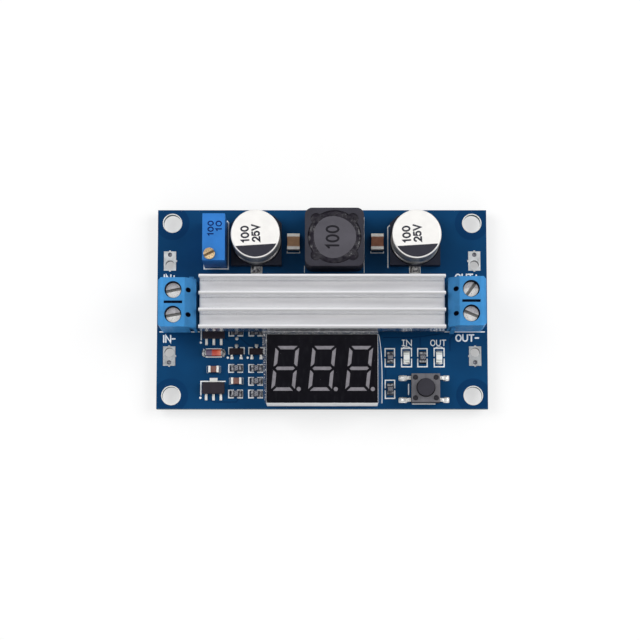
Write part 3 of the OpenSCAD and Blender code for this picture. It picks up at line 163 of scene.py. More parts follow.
class Nodes:
    """A node tree, built up node by node."""

    def __init__(self, tree):
        self.nodes, self.links = tree.nodes, tree.links

    def add(self, kind, sockets=None, **settings):
        node = self.nodes.new(kind)
        for key, value in settings.items():
            setattr(node, key, value)
        for key, value in (sockets or {}).items():
            self.feed(node.inputs[key], value)
        return node

    def feed(self, socket, value):
        if isinstance(value, bpy.types.NodeSocket):
            self.links.new(value, socket)
        else:
            socket.default_value = value

    def math(self, operation, a, b=0.0):
        return self.add("ShaderNodeMath", {0: a, 1: b}, operation=operation).outputs[0]

    def spread(self, value, low, high, start=0.3, end=0.7):
        """The value's run from start to end drawn out over low to high."""
        sockets = {"Value": value, "From Min": start, "From Max": end, "To Min": low, "To Max": high}
        return self.add("ShaderNodeMapRange", sockets).outputs["Result"]

    def ramp(self, value, start, end):
        """0 up to start and 1 from end on."""
        return self.spread(value, 0.0, 1.0, start, end)

    def fall(self, value, start, end):
        """1 up to start and 0 from end on."""
        return self.spread(value, 1.0, 0.0, start, end)

    def choose(self, share, a, b):
        """A number between a and b."""
        return self.add("ShaderNodeMix", {0: share, 2: a, 3: b}).outputs[0]

    def blend(self, share, a, b):
        """A colour between a and b."""
        return self.add("ShaderNodeMix", {0: share, 6: a, 7: b}, data_type="RGBA").outputs[2]


class Look(Nodes):
    """A material on one Principled shader; place, x, y and z are the surface point in millimetres."""

    def __init__(self, name, **sockets):
        self.material = bpy.data.materials.new(name)
        self.material.use_nodes = True
        super().__init__(self.material.node_tree)
        self.shader = self.nodes["Principled BSDF"]
        scaled = {0: self.add("ShaderNodeTexCoord").outputs["Object"], "Scale": 1 / MM}
        self.place = self.add("ShaderNodeVectorMath", scaled, operation="SCALE").outputs["Vector"]
        self.x, self.y, self.z = self.add("ShaderNodeSeparateXYZ", {"Vector": self.place}).outputs
        self.normal = None
        for key, value in sockets.items():
            self.set(key, value)

    def set(self, key, value):
        self.feed(self.shader.inputs[SOCKETS[key]], value)

    def noise(self, size, detail=3.0, stretch=(1, 1, 1)):
        """Noise from 0 to 1 with features about size across, drawn out by stretch."""
        scale = [1 / (size * s) for s in stretch]
        mapping = self.add("ShaderNodeMapping", {"Vector": self.place, "Scale": scale})
        sockets = {"Vector": mapping.outputs["Vector"], "Scale": 1.0, "Detail": detail}
        return self.add("ShaderNodeTexNoise", sockets).outputs["Fac"]

    def mottle(self, size, detail=3.0, low=0.0, high=1.0, stretch=(1, 1, 1)):
        """Noise with more contrast, from low to high."""
        return self.spread(self.noise(size, detail, stretch), low, high)

    def paint(self, share, a, b):
        self.set("color", self.blend(share, a, b))

    def tint(self, share, color, dark, light):
        """A colour between a dark and a light shade of itself."""
        return self.blend(share, shade(color, dark), shade(color, light))

    def apart(self, value, other=0.0):
        """How far two values are apart."""
        return self.math("ABSOLUTE", self.math("SUBTRACT", value, other))

    def distance(self, point):
        """Distance from a point in the board's plane."""
        flat = self.add("ShaderNodeVectorMath", {0: self.place, 1: (1, 1, 0)}, operation="MULTIPLY")
        sockets = {0: flat.outputs["Vector"], 1: (point[0], point[1], 0)}
        return self.add("ShaderNodeVectorMath", sockets, operation="DISTANCE").outputs["Value"]

    def near(self, point, radius, soft):
        """1 within radius of a point in the board's plane and 0 outside, with a soft rim."""
        return self.fall(self.distance(point), radius - soft, radius + soft)

    def inside(self, point, half_x, half_y):
        """1 inside a rectangle in the board's plane and 0 outside."""
        over_x = self.math("SUBTRACT", self.apart(self.x, point[0]), half_x)
        over_y = self.math("SUBTRACT", self.apart(self.y, point[1]), half_y)
        return self.math("LESS_THAN", self.math("MAXIMUM", over_x, over_y), 0.0)

    def facing_up(self):
        """1 on faces that look up or down and 0 on upright ones."""
        normal = self.add("ShaderNodeNewGeometry").outputs["Normal"]
        z = self.add("ShaderNodeSeparateXYZ", {"Vector": normal}).outputs["Z"]
        return self.ramp(self.math("ABSOLUTE", z), 0.3, 0.6)

    def bump(self, height, depth):
        """Adds bump over what is there."""
        sockets = {"Height": height, "Distance": depth * MM}
        if self.normal is not None:
            sockets["Normal"] = self.normal
        self.normal = self.add("ShaderNodeBump", sockets).outputs["Normal"]
        self.links.new(self.normal, self.shader.inputs["Normal"])

    def skin(self, size, low, high, depth, grain=None, detail=3.0):
        """Roughness that varies from low to high, and bump of the given grain."""
        self.set("rough", self.mottle(size, detail, low, high))
        self.bump(self.noise(grain or size, detail), depth)
        return self


def plastic(name, color, rough, grain, depth, vary, specular=0.1):
    """Moulded plastic or resin: slow mottling, fine grain and uneven gloss."""
    look = Look(name, specular=specular)
    look.set("color", look.tint(look.mottle(3.0, 4.0), screen(*color), 1 - vary, 1 + vary))
    return look.skin(grain, rough - 0.06, rough + 0.06, depth, detail=2.0)


def metal(name, color, rough, grain=0.2, depth=0.002, vary=0.08, stretch=(1, 1, 1), share=1.0):
    """Metal with blotches of tone, drawn out where it is rolled; share is lower where it is tarnished."""
    look = Look(name, metal=share)
    fine = look.noise(grain, 3.0, stretch)
    blotches = look.mottle(grain * 6, 4.0, stretch=stretch)
    look.set("color", look.tint(blotches, screen(*color), 1 - vary, 1 + vary))
    look.set("rough", look.spread(fine, rough * 0.75, rough * 1.3))
    look.bump(fine, depth)
    return look


def two_tone(name, dark, light, size, skin, **sockets):
    """Resin or ink with a soft mottle between two colours."""
    look = Look(name, **sockets)
    look.paint(look.mottle(size), screen(*dark), screen(*light))
    return look.skin(*skin, detail=2.0)


KEEP_OUT_R = 3.5


def solder_mask():
    """Blue mask over copper, darker in keep-out rings, with bare laminate on the board's sides."""
    look = Look("solder_mask", specular=0.05)
    mask = look.tint(look.mottle(9.0, 5.0), screen(14, 65, 108), 0.88, 1.12)
    for point in MOUNT_HOLES:
        mask = look.blend(look.near(point, KEEP_OUT_R, 0.08), mask, screen(9, 55, 97))
    weave = look.mottle(0.5, 2.0, stretch=(3, 1, 1))
    edge = look.tint(weave, screen(66, 96, 98), 0.6, 1.0)
    look.paint(look.facing_up(), edge, mask)
    return look.skin(0.16, 0.34, 0.48, 0.004)


# Openings in the terminals' tops, which are painted dark as shade, and widths of the inner slope,
# # which carries painted shade, and of the outer strip, which carries a painted highlight
SCREW_BORE_R = 1.72
TEST_HOLE_REACH, TEST_HOLE_R = 3.025, 0.5
GROOVE_HALF_L, GROOVE_HALF_W = 1.85, 0.27
SLOPE_SHADE_WIDTH, STRIP_HIGHLIGHT_WIDTH = 2.2, 1.1


def terminal_plastic():
    """Light blue satin polyamide, with painted shade on the inner slope and in its openings, and a painted
    highlight on the outer strip.
    """
    # the second colour is the painted shade in the openings
    color, hole_shade, soft, rim = screen(64, 138, 198), screen(8, 26, 58), 0.1, 0.02
    look = Look("terminal_plastic", specular=0.1)
    tone, away = look.mottle(2.5, 5.0), look.apart(look.x)
    low, high = box_of("output_terminal_housing")
    slope_shade_x, strip_highlight_x = low.x + SLOPE_SHADE_WIDTH, high.x - STRIP_HIGHLIGHT_WIDTH
    slope_shade = look.fall(away, slope_shade_x - soft, slope_shade_x + soft)
    strip_highlight = look.ramp(away, strip_highlight_x - soft, strip_highlight_x + soft)
    # painted shade on the inner slope and a painted highlight on the outer strip, as darker and lighter
    # copies of the colour
    shown = look.blend(slope_shade, look.tint(tone, color, 0.88, 1.12), look.tint(tone, color, 0.72, 0.92))
    shown = look.blend(strip_highlight, shown, look.tint(tone, color, 1.0, 1.24))
    # painted shade in the screw bores, the test holes and the groove between each pair of screws
    for side, end in ((-1, "input"), (1, "output")):
        plus, minus = middle(f"{end}_plus_screw"), middle(f"{end}_minus_screw")
        for spot in (plus, minus):
            shown = look.blend(look.near(spot, SCREW_BORE_R, rim), shown, hole_shade)
            test = (spot.x - side * TEST_HOLE_REACH, spot.y)
            shown = look.blend(look.near(test, TEST_HOLE_R, rim), shown, hole_shade)
        shown = look.blend(look.inside((plus + minus) / 2, GROOVE_HALF_L, GROOVE_HALF_W), shown, hole_shade)
    look.set("color", shown)
    look.bump(look.noise(0.9), 0.012)
    return look.skin(0.1, 0.34, 0.48, 0.004)


def turned_metal(name, color, shaded_far_color, node, slot_depth, rough):
    """Metal with fine rings from a lathe, its far half in a darker colour as painted shade, and painted shade
    down in its slot.
    """
    look = Look(name, metal=0.6)
    color, shaded_far_color, spot, top, ring = screen(*color), screen(*shaded_far_color), middle(node), top_of(node), 0.12
    rings = look.math("SINE", look.math("MULTIPLY", look.distance(spot), 2 * math.pi / ring))
    tone = look.mottle(0.8, 4.0)
    # painted shade: dark down in the slot, and on the far half the darker second colour
    lit_share = look.ramp(look.z, top - slot_depth, top - 0.4 * slot_depth)
    far = look.ramp(look.math("SUBTRACT", look.y, spot.y), -0.1, 0.25)
    face = look.blend(far, look.tint(tone, color, 0.9, 1.15), look.tint(tone, shaded_far_color, 0.84, 1.16))
    look.paint(lit_share, shade(color, 0.3), face)
    look.bump(look.ramp(rings, -1.0, 1.0), 0.003)
    return look.skin(0.25, rough * 0.7, rough * 1.3, 0.004, 0.3)


def can_aluminium():
    """Aluminium, pale on the flat end; the drawn side is bare metal in a darker copy of the colour, which is
    painted shade.
    """
    color, top = screen(250, 248, 245), top_of("input_capacitor_can")
    look = Look("can_aluminium")
    end = look.ramp(look.z, top - 0.32, top - 0.2)
    drawn = look.mottle(0.25, 3.0, 0.28, 0.4, (1, 1, 20))
    end_tone = look.tint(look.mottle(2.0, 4.0), color, 0.93, 1.0)
    # painted shade: the drawn side gets a darker copy of the colour
    look.paint(end, shade(color, 0.58), end_tone)
    look.set("metal", look.spread(end, 0.85, 0.1, 0.0, 1.0))
    look.set("rough", look.math("ADD", drawn, look.math("MULTIPLY", end, 0.15)))
    look.bump(look.noise(0.15, 2.0), 0.002)
    return look


def ceramic_color(look):
    """Brown with darker flecks, redder on the output side and in the small parts; the large parts' browns are
    lightened as painted light.
    """
    # painted light: the large parts' two browns are lightened to make up for the shade between the tall parts
    # round them
    color, red, small = screen(190, 150, 118), screen(166, 114, 92), screen(132, 97, 90)
    left = look.fall(look.x, 0.0, 10.0)
    tall = look.ramp(look.z, BOARD_TOP + 1.05, BOARD_TOP + 1.15)
    base = look.blend(tall, small, look.blend(left, red, color))
    return look.blend(look.mottle(1.2, 4.0), look.blend(0.25, base, BLACK), base)


def brown_ceramic():
    """Fired ceramic with a fine grain."""
    look = Look("brown_ceramic", specular=0.1)
    look.set("color", ceramic_color(look))
    return look.skin(0.15, 0.38, 0.55, 0.004, 0.1)


def ceramic_end():
    """Tinned ends of the ceramics, grey on upright faces as painted shade; on the large parts the glaze laps
    over the inner edge of the tin.
    """
    look = Look("ceramic_end")
    shown, rim = 0.6, 0.06
    ends = [end for end in islands("ceramic_ends") if large_end(end)]
    front, back = min(low.y for low, high in ends), max(high.y for low, high in ends)
    inner = (back - front) / 2 - shown
    waver = look.math("MULTIPLY", look.noise(0.4, 2.0), 0.1)
    glazed = look.fall(look.math("ADD", look.apart(look.y, (front + back) / 2), waver), inner, inner + rim)
    tinned = look.blend(look.mottle(0.8, 4.0), screen(232, 229, 222), screen(250, 249, 246))
    # painted shade: the upright faces of the tin in grey
    tinned = look.blend(look.facing_up(), screen(150, 150, 152), tinned)
    look.paint(glazed, tinned, ceramic_color(look))
    look.set("metal", look.spread(glazed, 0.15, 0.0, 0.0, 1.0))
    return look.skin(0.2, 0.34, 0.5, 0.006)


def pad_plating():
    """Tinned pads: blotchy, darker towards the board's front, and painted shade down in their holes."""
    color = screen(214, 217, 219)
    look = Look("pad_tin", metal=1.0)
    tone, front_darkening = look.mottle(1.2, 4.0), look.fall(look.y, -12.0, 10.0)
    shown = look.blend(front_darkening, look.tint(tone, color, 0.84, 1.16), look.tint(tone, color, 0.6, 0.9))
    # painted shade: upright faces, the walls of the holes, in a dark copy of the colour
    look.paint(look.facing_up(), shade(color, 0.22), shown)
    return look.skin(0.3, 0.3, 0.5, 0.02)


def flux_tin(name, dark, light):
    """Solder in dark and light patches: the light ones are painted glints, the dark ones painted dark
    reflection.
    """
    look = Look(name, metal=0.6)
    patches = look.ramp(look.noise(0.45, 4.0), 0.4, 0.66)
    # painted glints and painted dark reflection, as light and dark patches
    look.paint(patches, screen(*dark), screen(*light))
    look.set("rough", look.mottle(0.1, 2.0, 0.3, 0.5))
    look.bump(patches, 0.03)
    return look


# Fins of the heatsink, their thickness at the foot, and the first fin's front wall
FIN_COUNT, FIN_FOOT, FIN_WALL = 4, 1.1, 0.2


def extruded_aluminium():
    """Bright aluminium with die lines along its length: satin on flat faces and mirror-like on upright ones.

    The fins' tops carry a painted highlight at their back and painted shade at their front. Each valley
    carries painted light in front of the next fin and painted shade just behind the fin before it; the base's
    upright walls carry painted shade.
    """
    color = screen(240, 240, 243)
    look = Look("extruded_aluminium")
    lines, bands = look.noise(0.12, 4.0, (60, 1, 1)), look.mottle(1.6, 2.0, stretch=(14, 1, 1))
    low, high = box_of("heatsink")
    flat, top_band = look.facing_up(), look.ramp(look.z, high.z - 0.35, high.z - 0.05)
    pitch = (high.y - low.y - FIN_FOOT) / (FIN_COUNT - 1)
    turns = look.math("DIVIDE", look.math("SUBTRACT", look.y, low.y + FIN_WALL), pitch)
    place = look.math("MULTIPLY", look.math("FRACT", turns), pitch)
    # painted light at the back of each valley, and a painted highlight at the back of each fin's top
    lit_share, lit_back = look.ramp(place, pitch - 1.25, pitch - 0.5), look.ramp(place, 0.2, 0.55)
    valley = look.blend(lit_share, look.tint(bands, color, 0.8, 0.95), look.tint(bands, color, 1.02, 1.15))
    specks = look.spread(look.noise(0.35), 0.0, 0.21, 0.55, 0.75)
    valley = look.blend(specks, valley, shade(color, 0.68))
    fin_top = look.blend(lit_back, shade(color, 0.52), look.tint(bands, color, 0.98, 1.1))
    # painted shade: the base's upright walls are darkened towards black
    foot = look.spread(look.z, 0.35, 1.0, low.z + 1.3, low.z + 1.5)
    look.paint(look.math("MAXIMUM", foot, flat), BLACK, look.blend(top_band, valley, fin_top))
    upright = look.fall(flat, 0.0, 1.0)
    look.set("metal", look.math("MAXIMUM", upright, look.spread(top_band, 0.75, 0.35, 0.0, 1.0)))
    look.set("rough", look.math("ADD", look.spread(lines, 0.18, 0.26), look.math("MULTIPLY", flat, 0.26)))
    look.bump(lines, 0.008)
    return look


def wet_glue():
    """Black glue: lumpy, with a patchy gloss."""
    look = Look("black_glue")
    look.paint(look.mottle(0.9), screen(32, 30, 37), screen(46, 43, 51))
    look.set("specular", look.spread(look.noise(1.6, 2.0), 0.02, 0.5, 0.4, 0.65))
    return look.skin(0.5, 0.1, 0.2, 0.3, 0.9)


def diode_glass():
    """Orange-red glass with a dark bluish end over the chip."""
    look = Look("diode_glass", coat=0.4, coat_rough=0.06)
    low, high = box_of("diode_glass")
    waver = look.math("MULTIPLY", look.noise(0.6), 0.12)
    place = look.math("ADD", look.ramp(look.x, low.x, high.x), waver)
    glass = look.blend(look.ramp(place, 0.75, 1.05), screen(190, 66, 46), screen(226, 130, 100))
    look.paint(look.fall(place, 0.42, 0.5), glass, screen(102, 84, 110))
    return look.skin(0.3, 0.08, 0.16, 0.004, 0.5, 2.0)


def film_clear():
    """Clear film: nearly bare over the face, hazy where it stands loose at the back and left.

    The flap at its right is clear too, but for its fold and its cut edge, drawn as white lines of painted
    highlight. U and V are those of film_sheet.
    """
    look = Look("film_clear", ior=1.45)
    uv = look.add("ShaderNodeSeparateXYZ", {"Vector": look.add("ShaderNodeUVMap").outputs["UV"]}).outputs
    u, v = uv["X"], uv["Y"]
    streaks, specks = look.noise(0.5, 5.0, (1, 4, 1)), look.ramp(look.noise(0.2, 4.0), 0.56, 0.66)
    left, right = look.fall(u, -0.05, 0.0), look.ramp(u, 1.0, 1.02)
    back, lifted = look.ramp(v, 1.0, 1.05), look.ramp(v, 1.1, 1.9)
    rim = look.spread(u, 0.0, 0.85, 1.75, 1.9)
    fold = look.spread(look.apart(u, 1.06), 0.5, 0.0, 0.0, 0.08)
    # painted light: the haze's grey lightens towards the lifted edge, where the heatsink's shadow falls
    lit_haze_color = look.blend(lifted, screen(72, 72, 78), screen(158, 159, 165))
    dusty = look.blend(specks, lit_haze_color, screen(244, 246, 249))
    look.paint(look.math("MAXIMUM", back, left), screen(230, 236, 244), dusty)
    cover = look.math("MULTIPLY", back, look.spread(lifted, 0.6, 1.05, 0.0, 1.0))
    cover = look.math("MAXIMUM", cover, look.math("MULTIPLY", left, 0.85))
    haze = look.math("MULTIPLY", cover, look.spread(specks, 0.6, 0.9, 0.0, 1.0))
    # painted highlights: white lines at the flap's fold and cut edge
    flap = look.math("MULTIPLY", right, look.math("ADD", look.math("MAXIMUM", rim, fold), 0.02))
    scratch = look.spread(streaks, 0.0, 0.008, 0.5, 0.75)
    look.set("alpha", look.math("ADD", look.math("MAXIMUM", haze, flap), scratch))
    look.set("rough", look.mottle(0.4, 3.0, 0.15, 0.3))
    look.bump(streaks, 0.03)
    return look


tin = metal("tinned_metal", (236, 235, 232), 0.4, 0.3, 0.006, share=0.6)
spring_steel = metal("spring_steel", (190, 190, 192), 0.2)
# dark grey tin in the vias: painted shade in the holes
dull_tin = metal("dull_tin", (116, 117, 124), 0.45, 0.2, 0.01, 0.25)
solder = metal("solder", (236, 236, 234), 0.34, 0.35, 0.02, share=0.6)
# dark grey solder: painted shade and dark reflection on the joints of the resistors and large ceramics
old_solder = metal("old_solder", (70, 72, 80), 0.45, 0.2, 0.01, 0.25)
pad_tin = pad_plating()
dark_tin = flux_tin("flux_tin", (74, 74, 80), (218, 218, 217))
end_tin = flux_tin("end_tin", (62, 64, 70), (178, 179, 184))
INK_SKIN = (0.1, 0.5, 0.65, 0.003)
silk = two_tone("silk_ink", (236, 240, 243), (252, 253, 253), 0.18, INK_SKIN, specular=0.2)
worn_silk = two_tone("worn_silk", (104, 124, 148), (160, 172, 186), 0.18, INK_SKIN, specular=0.2)
black_ink = plastic("black_ink", (54, 54, 63), 0.5, 0.08, 0.002, 0.12)
core_ink = plastic("core_ink", (36, 35, 40), 0.5, 0.08, 0.002, 0.12, 0.05)
blue_ink = plastic("blue_ink", (16, 34, 92), 0.5, 0.08, 0.002, 0.2, 0.05)
display_black = plastic("display_black", (14, 13, 19), 0.45, 0.07, 0.003, 0.14, 0.05)
grey_ink = plastic("grey_ink", (160, 162, 170), 0.55, 0.08, 0.002, 0.12, 0.2)
black_glue = wet_glue()
trace_mask = plastic("trace_mask", (9, 52, 92), 0.42, 0.16, 0.004, 0.12, 0.05)


# Finishes of the solids

def dress(look, *names):
    """Gives CAD nodes a material."""
    for name in names:
        slots = NODES[name].data.materials
        slots.clear()
        slots.append(look.material)


def dress_solids():
    dress(solder_mask(), "circuit_board")
    dress(terminal_plastic(), *both("terminal_housing"))
    for pole in both("plus") + both("minus"):
        screw = f"{pole}_screw"
        # the second colour is the screws' far half in painted shade
        dress(turned_metal(f"{pole}_nickel", (245, 245, 243), (202, 201, 206), screw, 0.7, 0.34), screw)
        dress(tin, f"{pole}_clamp")
    # the second colour is the trimmer screw's far half in painted shade
    brass = turned_metal("brass", (242, 210, 164), (202, 174, 135), "trimmer_screw", 0.6, 0.3)
    dress(brass, "trimmer_screw")
    dress(plastic("trimmer_plastic", (54, 124, 202), 0.34, 0.2, 0.003, 0.08), "trimmer_body")
    dress(can_aluminium(), *both("capacitor_can"))
    dress(plastic("black_moulding", (42, 44, 56), 0.4, 0.15, 0.004, 0.2), *both("capacitor_base"))
    dress(plastic("switch_moulding", (48, 47, 52), 0.45, 0.12, 0.004, 0.2), "switch_base")
    dress(plastic("ferrite_shield", (58, 57, 65), 0.55, 0.09, 0.01, 0.12), "inductor_shield")
    dress(plastic("ferrite_core", (86, 84, 91), 0.5, 0.09, 0.008, 0.1), "inductor_core")
    dress(metal("enamelled_copper", (184, 104, 58), 0.25, 0.2, 0.003), "inductor_winding")
    dress(black_glue, "inductor_glue")
    dress(brown_ceramic(), "ceramic_bodies")
    dress(ceramic_end(), "ceramic_ends")
    dress(extruded_aluminium(), "heatsink")
    dress(plastic("thermal_paste", (224, 224, 220), 0.7, 0.2, 0.01, 0.1, 0.5), "thermal_adhesive")
    epoxy = plastic("moulded_epoxy", (48, 43, 51), 0.55, 0.09, 0.008, 0.16)
    dress(epoxy, "power_transistor_body", "rectifier_body", "controller_bodies", "regulator_bodies")
    dress(plastic("small_epoxy", (38, 30, 36), 0.5, 0.09, 0.008, 0.2), "transistor_bodies")
    dress(plastic("display_plastic", (246, 248, 250), 0.42, 0.15, 0.003, 0.05, 0.5), "display_housing")
    dress(display_black, "display_face")
    segment_skin, lens_skin = (0.1, 0.34, 0.46, 0.003, 0.2), (0.15, 0.15, 0.28, 0.004, 0.2)
    milky = two_tone("milky_segment", (120, 117, 123), (138, 135, 141), 0.8, segment_skin, specular=0.1)
    dress(milky, "display_segments")
    dress(metal("cover_steel", (116, 115, 120), 0.5, 0.1, 0.004, 0.12, (1, 12, 1)), "switch_cover")
    dress(plastic("button_plastic", (54, 53, 60), 0.5, 0.08, 0.006, 0.1), "switch_button")
    dress(diode_glass(), "diode_glass")
    dress(plastic("white_ceramic", (104, 106, 112), 0.5, 0.1, 0.004, 0.05, 0.5), "resistor_bodies")
    dress(plastic("resistor_coat", (56, 57, 66), 0.36, 0.08, 0.004, 0.16), "resistor_coats")
    dress(plastic("lamp_base", (238, 241, 234), 0.5, 0.1, 0.003, 0.06, 0.5), "lamp_bases")
    lens = two_tone("lamp_lens", (248, 251, 248), (255, 255, 254), 0.5, lens_skin, specular=0.3)
    dress(lens, "lamp_lenses")
    dress(end_tin, "resistor_ends")
    dress(dark_tin, "diode_ends", *both("capacitor_leads"))
    dress(pad_tin, "wire_pads")
    dress(tin, *both("terminal_pins"), "trimmer_pins", "inductor_terminals", "power_transistor_metal",
          "rectifier_metal", "controller_leads", "display_pins", "switch_leads", "regulator_leads",
          "transistor_leads")


# Solids whose sharp edges are rounded so that they catch the light, by the width of the rounding
EDGES = {
    0.05: ["display_housing"],
    0.06: ["regulator_bodies", "transistor_bodies", "regulator_leads", "switch_leads", "transistor_leads"],
    0.08: ["ceramic_bodies", "ceramic_ends", "switch_cover", "switch_base", "lamp_lenses", "trimmer_screw"],
    0.1: [f"{pole}_screw" for pole in both("plus") + both("minus")],
    0.12: ["trimmer_body", *both("terminal_housing")],
    0.15: ["switch_button", "diode_ends"],
    0.2: ["heatsink", *both("capacitor_base")],
    0.25: ["inductor_shield", "inductor_core"],
}
SAME_POINT = 0.0005


def soften_solids():
    for width, names in EDGES.items():
        for modifiers in (NODES[name].modifiers for name in names):
            modifiers.new("weld", "WELD").merge_threshold = SAME_POINT * MM
            bevel = modifiers.new("edges", "BEVEL")
            bevel.width = width * MM
            bevel.segments = 2
            bevel.limit_method = "ANGLE"
            bevel.angle_limit = math.radians(40)
            bevel.harden_normals = True
            bevel.loop_slide = False


# Mesh pieces

def add_object(name, data):
    thing = bpy.data.objects.new(name, data)
    bpy.context.scene.collection.objects.link(thing)
    return thing


def piece_from(maker, look, smooth=False):
    """A new piece, named after the function that fills its bmesh; it rides on the board's body."""
    name = maker.__name__
    mesh = bpy.data.meshes.new(name)
    shape = bmesh.new()
    maker(shape)
    bmesh.ops.scale(shape, vec=(MM, MM, MM), verts=shape.verts)
    bmesh.ops.recalc_face_normals(shape, faces=shape.faces)
    shape.to_mesh(mesh)
    shape.free()
    mesh.polygons.foreach_set("use_smooth", [smooth] * len(mesh.polygons))
    mesh.materials.append(look.material)
    piece = add_object(name, mesh)
    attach(piece, BODY)
    return piece


def row_at(shape, outline, z):
    """Points of an outline at one height."""
    return [shape.verts.new((x, y, z)) for x, y in outline]


def bridge(shape, rows, closed=True):
    """Faces between each row of points and the next, all the way round where the rows are closed."""
    for a, b in zip(rows, rows[1:]):
        for i in range(len(a) if closed else len(a) - 1):
            j = (i + 1) % len(a)
            shape.faces.new((a[i], b[i], b[j], a[j]))


def prism(shape, outline, low, high):
    """A flat plate with the given outline between two heights."""
    lower, upper = row_at(shape, outline, low), row_at(shape, outline, high)
    shape.faces.new(upper)
    shape.faces.new(lower[::-1])
    bridge(shape, [lower, upper])


def arc(cx, cy, rx, ry, start, end, steps=8):
    """Points on an ellipse from one angle to another, in degrees."""
    angles = [math.radians(start + (end - start) * i / steps) for i in range(steps + 1)]
    return [(cx + rx * math.cos(a), cy + ry * math.sin(a)) for a in angles]


def circle(centre, radius, count=32):
    return arc(centre[0], centre[1], radius, radius, 0, 360, count)[:-1]


PRINT_RISE, PRINT_STEP, SILK_WIDTH = 0.012, 0.003, 0.24


def round_end(tip, before, width):
    """The end of a printed line, from its right side to its left."""
    turn, reach = math.degrees(math.atan2(tip.y - before.y, tip.x - before.x)), 72
    return arc(tip.x, tip.y, width / 2, width / 2, turn - reach, turn + reach, 4)


def ribbon(shape, points, width, base, rise=PRINT_RISE, closed=False):
    """A printed line with mitred corners, and round ends where it is open."""
    spots = [Vector(p) for p in points]
    count = len(spots)
    left, right = [], []
    for i, spot in enumerate(spots):
        before = spots[i - 1] if i or closed else spot
        after = spots[(i + 1) % count] if i < count - 1 or closed else spot
        into = (spot - before).normalized() if before != spot else (after - spot).normalized()
        out = (after - spot).normalized() if after != spot else into
        bisector = (into + out).normalized()
        side = Vector((-bisector.y, bisector.x)) * width / 2 / max(0.4, bisector.dot(into))
        left.append(spot + side)
        right.append(spot - side)
    if closed:
        upper = base + rise
        section = ((left, base), (right, base), (right, upper), (left, upper))
        rows = [row_at(shape, line, z) for line, z in section]
        bridge(shape, rows + rows[:1])
    else:
        start, end = round_end(spots[0], spots[1], width), round_end(spots[-1], spots[-2], width)
        prism(shape, right + end + left[::-1] + start, base, base + rise)


def washer(shape, centre, inner, outer, low, high, count=48):
    """A flat ring between two heights."""
    ribbon(shape, circle(centre, (inner + outer) / 2, count), outer - inner, low, high - low, closed=True)


# Printed lettering: strokes on a grid one unit high, as (advance, lines)

GLYPHS = {
    "I": (0.2, [[(0.1, 0), (0.1, 1)]]),
    "i": (0.5, [[(0.25, 0), (0.25, 1)], [(0, 0), (0.5, 0)], [(0, 1), (0.5, 1)]]),
    "N": (0.85, [[(0, 0), (0, 1), (0.85, 0), (0.85, 1)]]),
    "O": (0.85, [arc(0.42, 0.5, 0.42, 0.5, 0, 360, 20)]),
    "U": (0.75, [[(0, 1)] + arc(0.375, 0.35, 0.375, 0.35, 180, 360) + [(0.75, 1)]]),
    "T": (0.75, [[(0, 1), (0.75, 1)], [(0.375, 1), (0.375, 0)]]),
    "V": (0.8, [[(0, 1), (0.4, 0), (0.8, 1)]]),
    "+": (0.7, [[(0, 0.5), (0.7, 0.5)], [(0.35, 0.15), (0.35, 0.85)]]),
    "-": (0.5, [[(0, 0.5), (0.5, 0.5)]]),
    "0": (0.6, [arc(0.3, 0.5, 0.3, 0.5, 0, 360, 16)]),
    "1": (0.3, [[(0, 0.8), (0.2, 1), (0.2, 0)]]),
    "2": (0.6, [arc(0.3, 0.7, 0.3, 0.3, 170, -40) + [(0, 0), (0.6, 0)]]),
    "5": (0.6, [[(0.55, 1), (0.1, 1), (0.05, 0.58)] + arc(0.28, 0.34, 0.32, 0.34, 130, -150)]),
}
GLYPH_GAP = 0.28


def lettering(shape, words, centre, size, base, turn=0.0):
    """Strokes of a word, turned about its centre; size is its length and height and the width of a stroke."""
    length, height, width = size
    span = sum(GLYPHS[c][0] for c in words) + GLYPH_GAP * (len(words) - 1)
    pen = 0.0
    for letter in words:
        advance, lines = GLYPHS[letter]
        for k, line in enumerate(lines):
            points = []
            for x, y in line:
                px, py = ((pen + x) / span - 0.5) * length, (y - 0.5) * height
                points.append((centre[0] + px * math.cos(turn) - py * math.sin(turn),
                               centre[1] + px * math.sin(turn) + py * math.cos(turn)))
            closed = math.dist(line[0], line[-1]) < 1e-6
            ribbon(shape, points[:-1] if closed else points, width, base, PRINT_RISE + k * PRINT_STEP, closed)
        pen += advance + GLYPH_GAP


# Silk print on the board

# Brackets round the chips: their reach along and across the chip, and half the gap between them
LYING_FRAME, STANDING_FRAME, LAMP_FRAME = (1.4, 0.77, 0.42), (1.86, 0.96, 0.285), (1.895, 1.015, 0.285)

# Legends: letters, left, right, lower and upper edge, and width of stroke
LEGENDS = (
    ("IN+", -32.6, -30.1, 5.8, 7.05, 0.31), ("IN-", -32.6, -30.2, -6.88, -5.52, 0.31),
    ("OUT+", 27.45, 32.15, 5.95, 7.2, 0.31), ("OUT-", 27.45, 32.05, -6.66, -5.36, 0.31),
    ("iN", 16.4, 18.3, -7.6, -6.45, 0.19), ("OUT", 22.25, 25.35, -7.6, -6.45, 0.19),
)

# Lines of the gaps between copper areas
TRACES = (
    [(-20.6, -4.2), (-20.6, -5.6), (-19.2, -6.5)], [(-15.0, -7.5), (-16.6, -6.2), (-16.6, -4.4)],
    [(-24.2, -18.2), (-22.0, -19.2), (-17.6, -19.2), (-16.8, -18.2)], [(-19.0, -12.2), (-19.0, -17.2)],
    [(12.6, -5.9), (19.0, -5.9), (24.0, -5.2)], [(13.0, -12.6), (13.0, -14.2)],
    [(20.1, -6.0), (20.1, -8.0)], [(26.2, -8.6), (26.2, -6.2), (27.0, -5.4)],
)
TRACE_WIDTH, TRACE_RISE = 0.25, 0.004


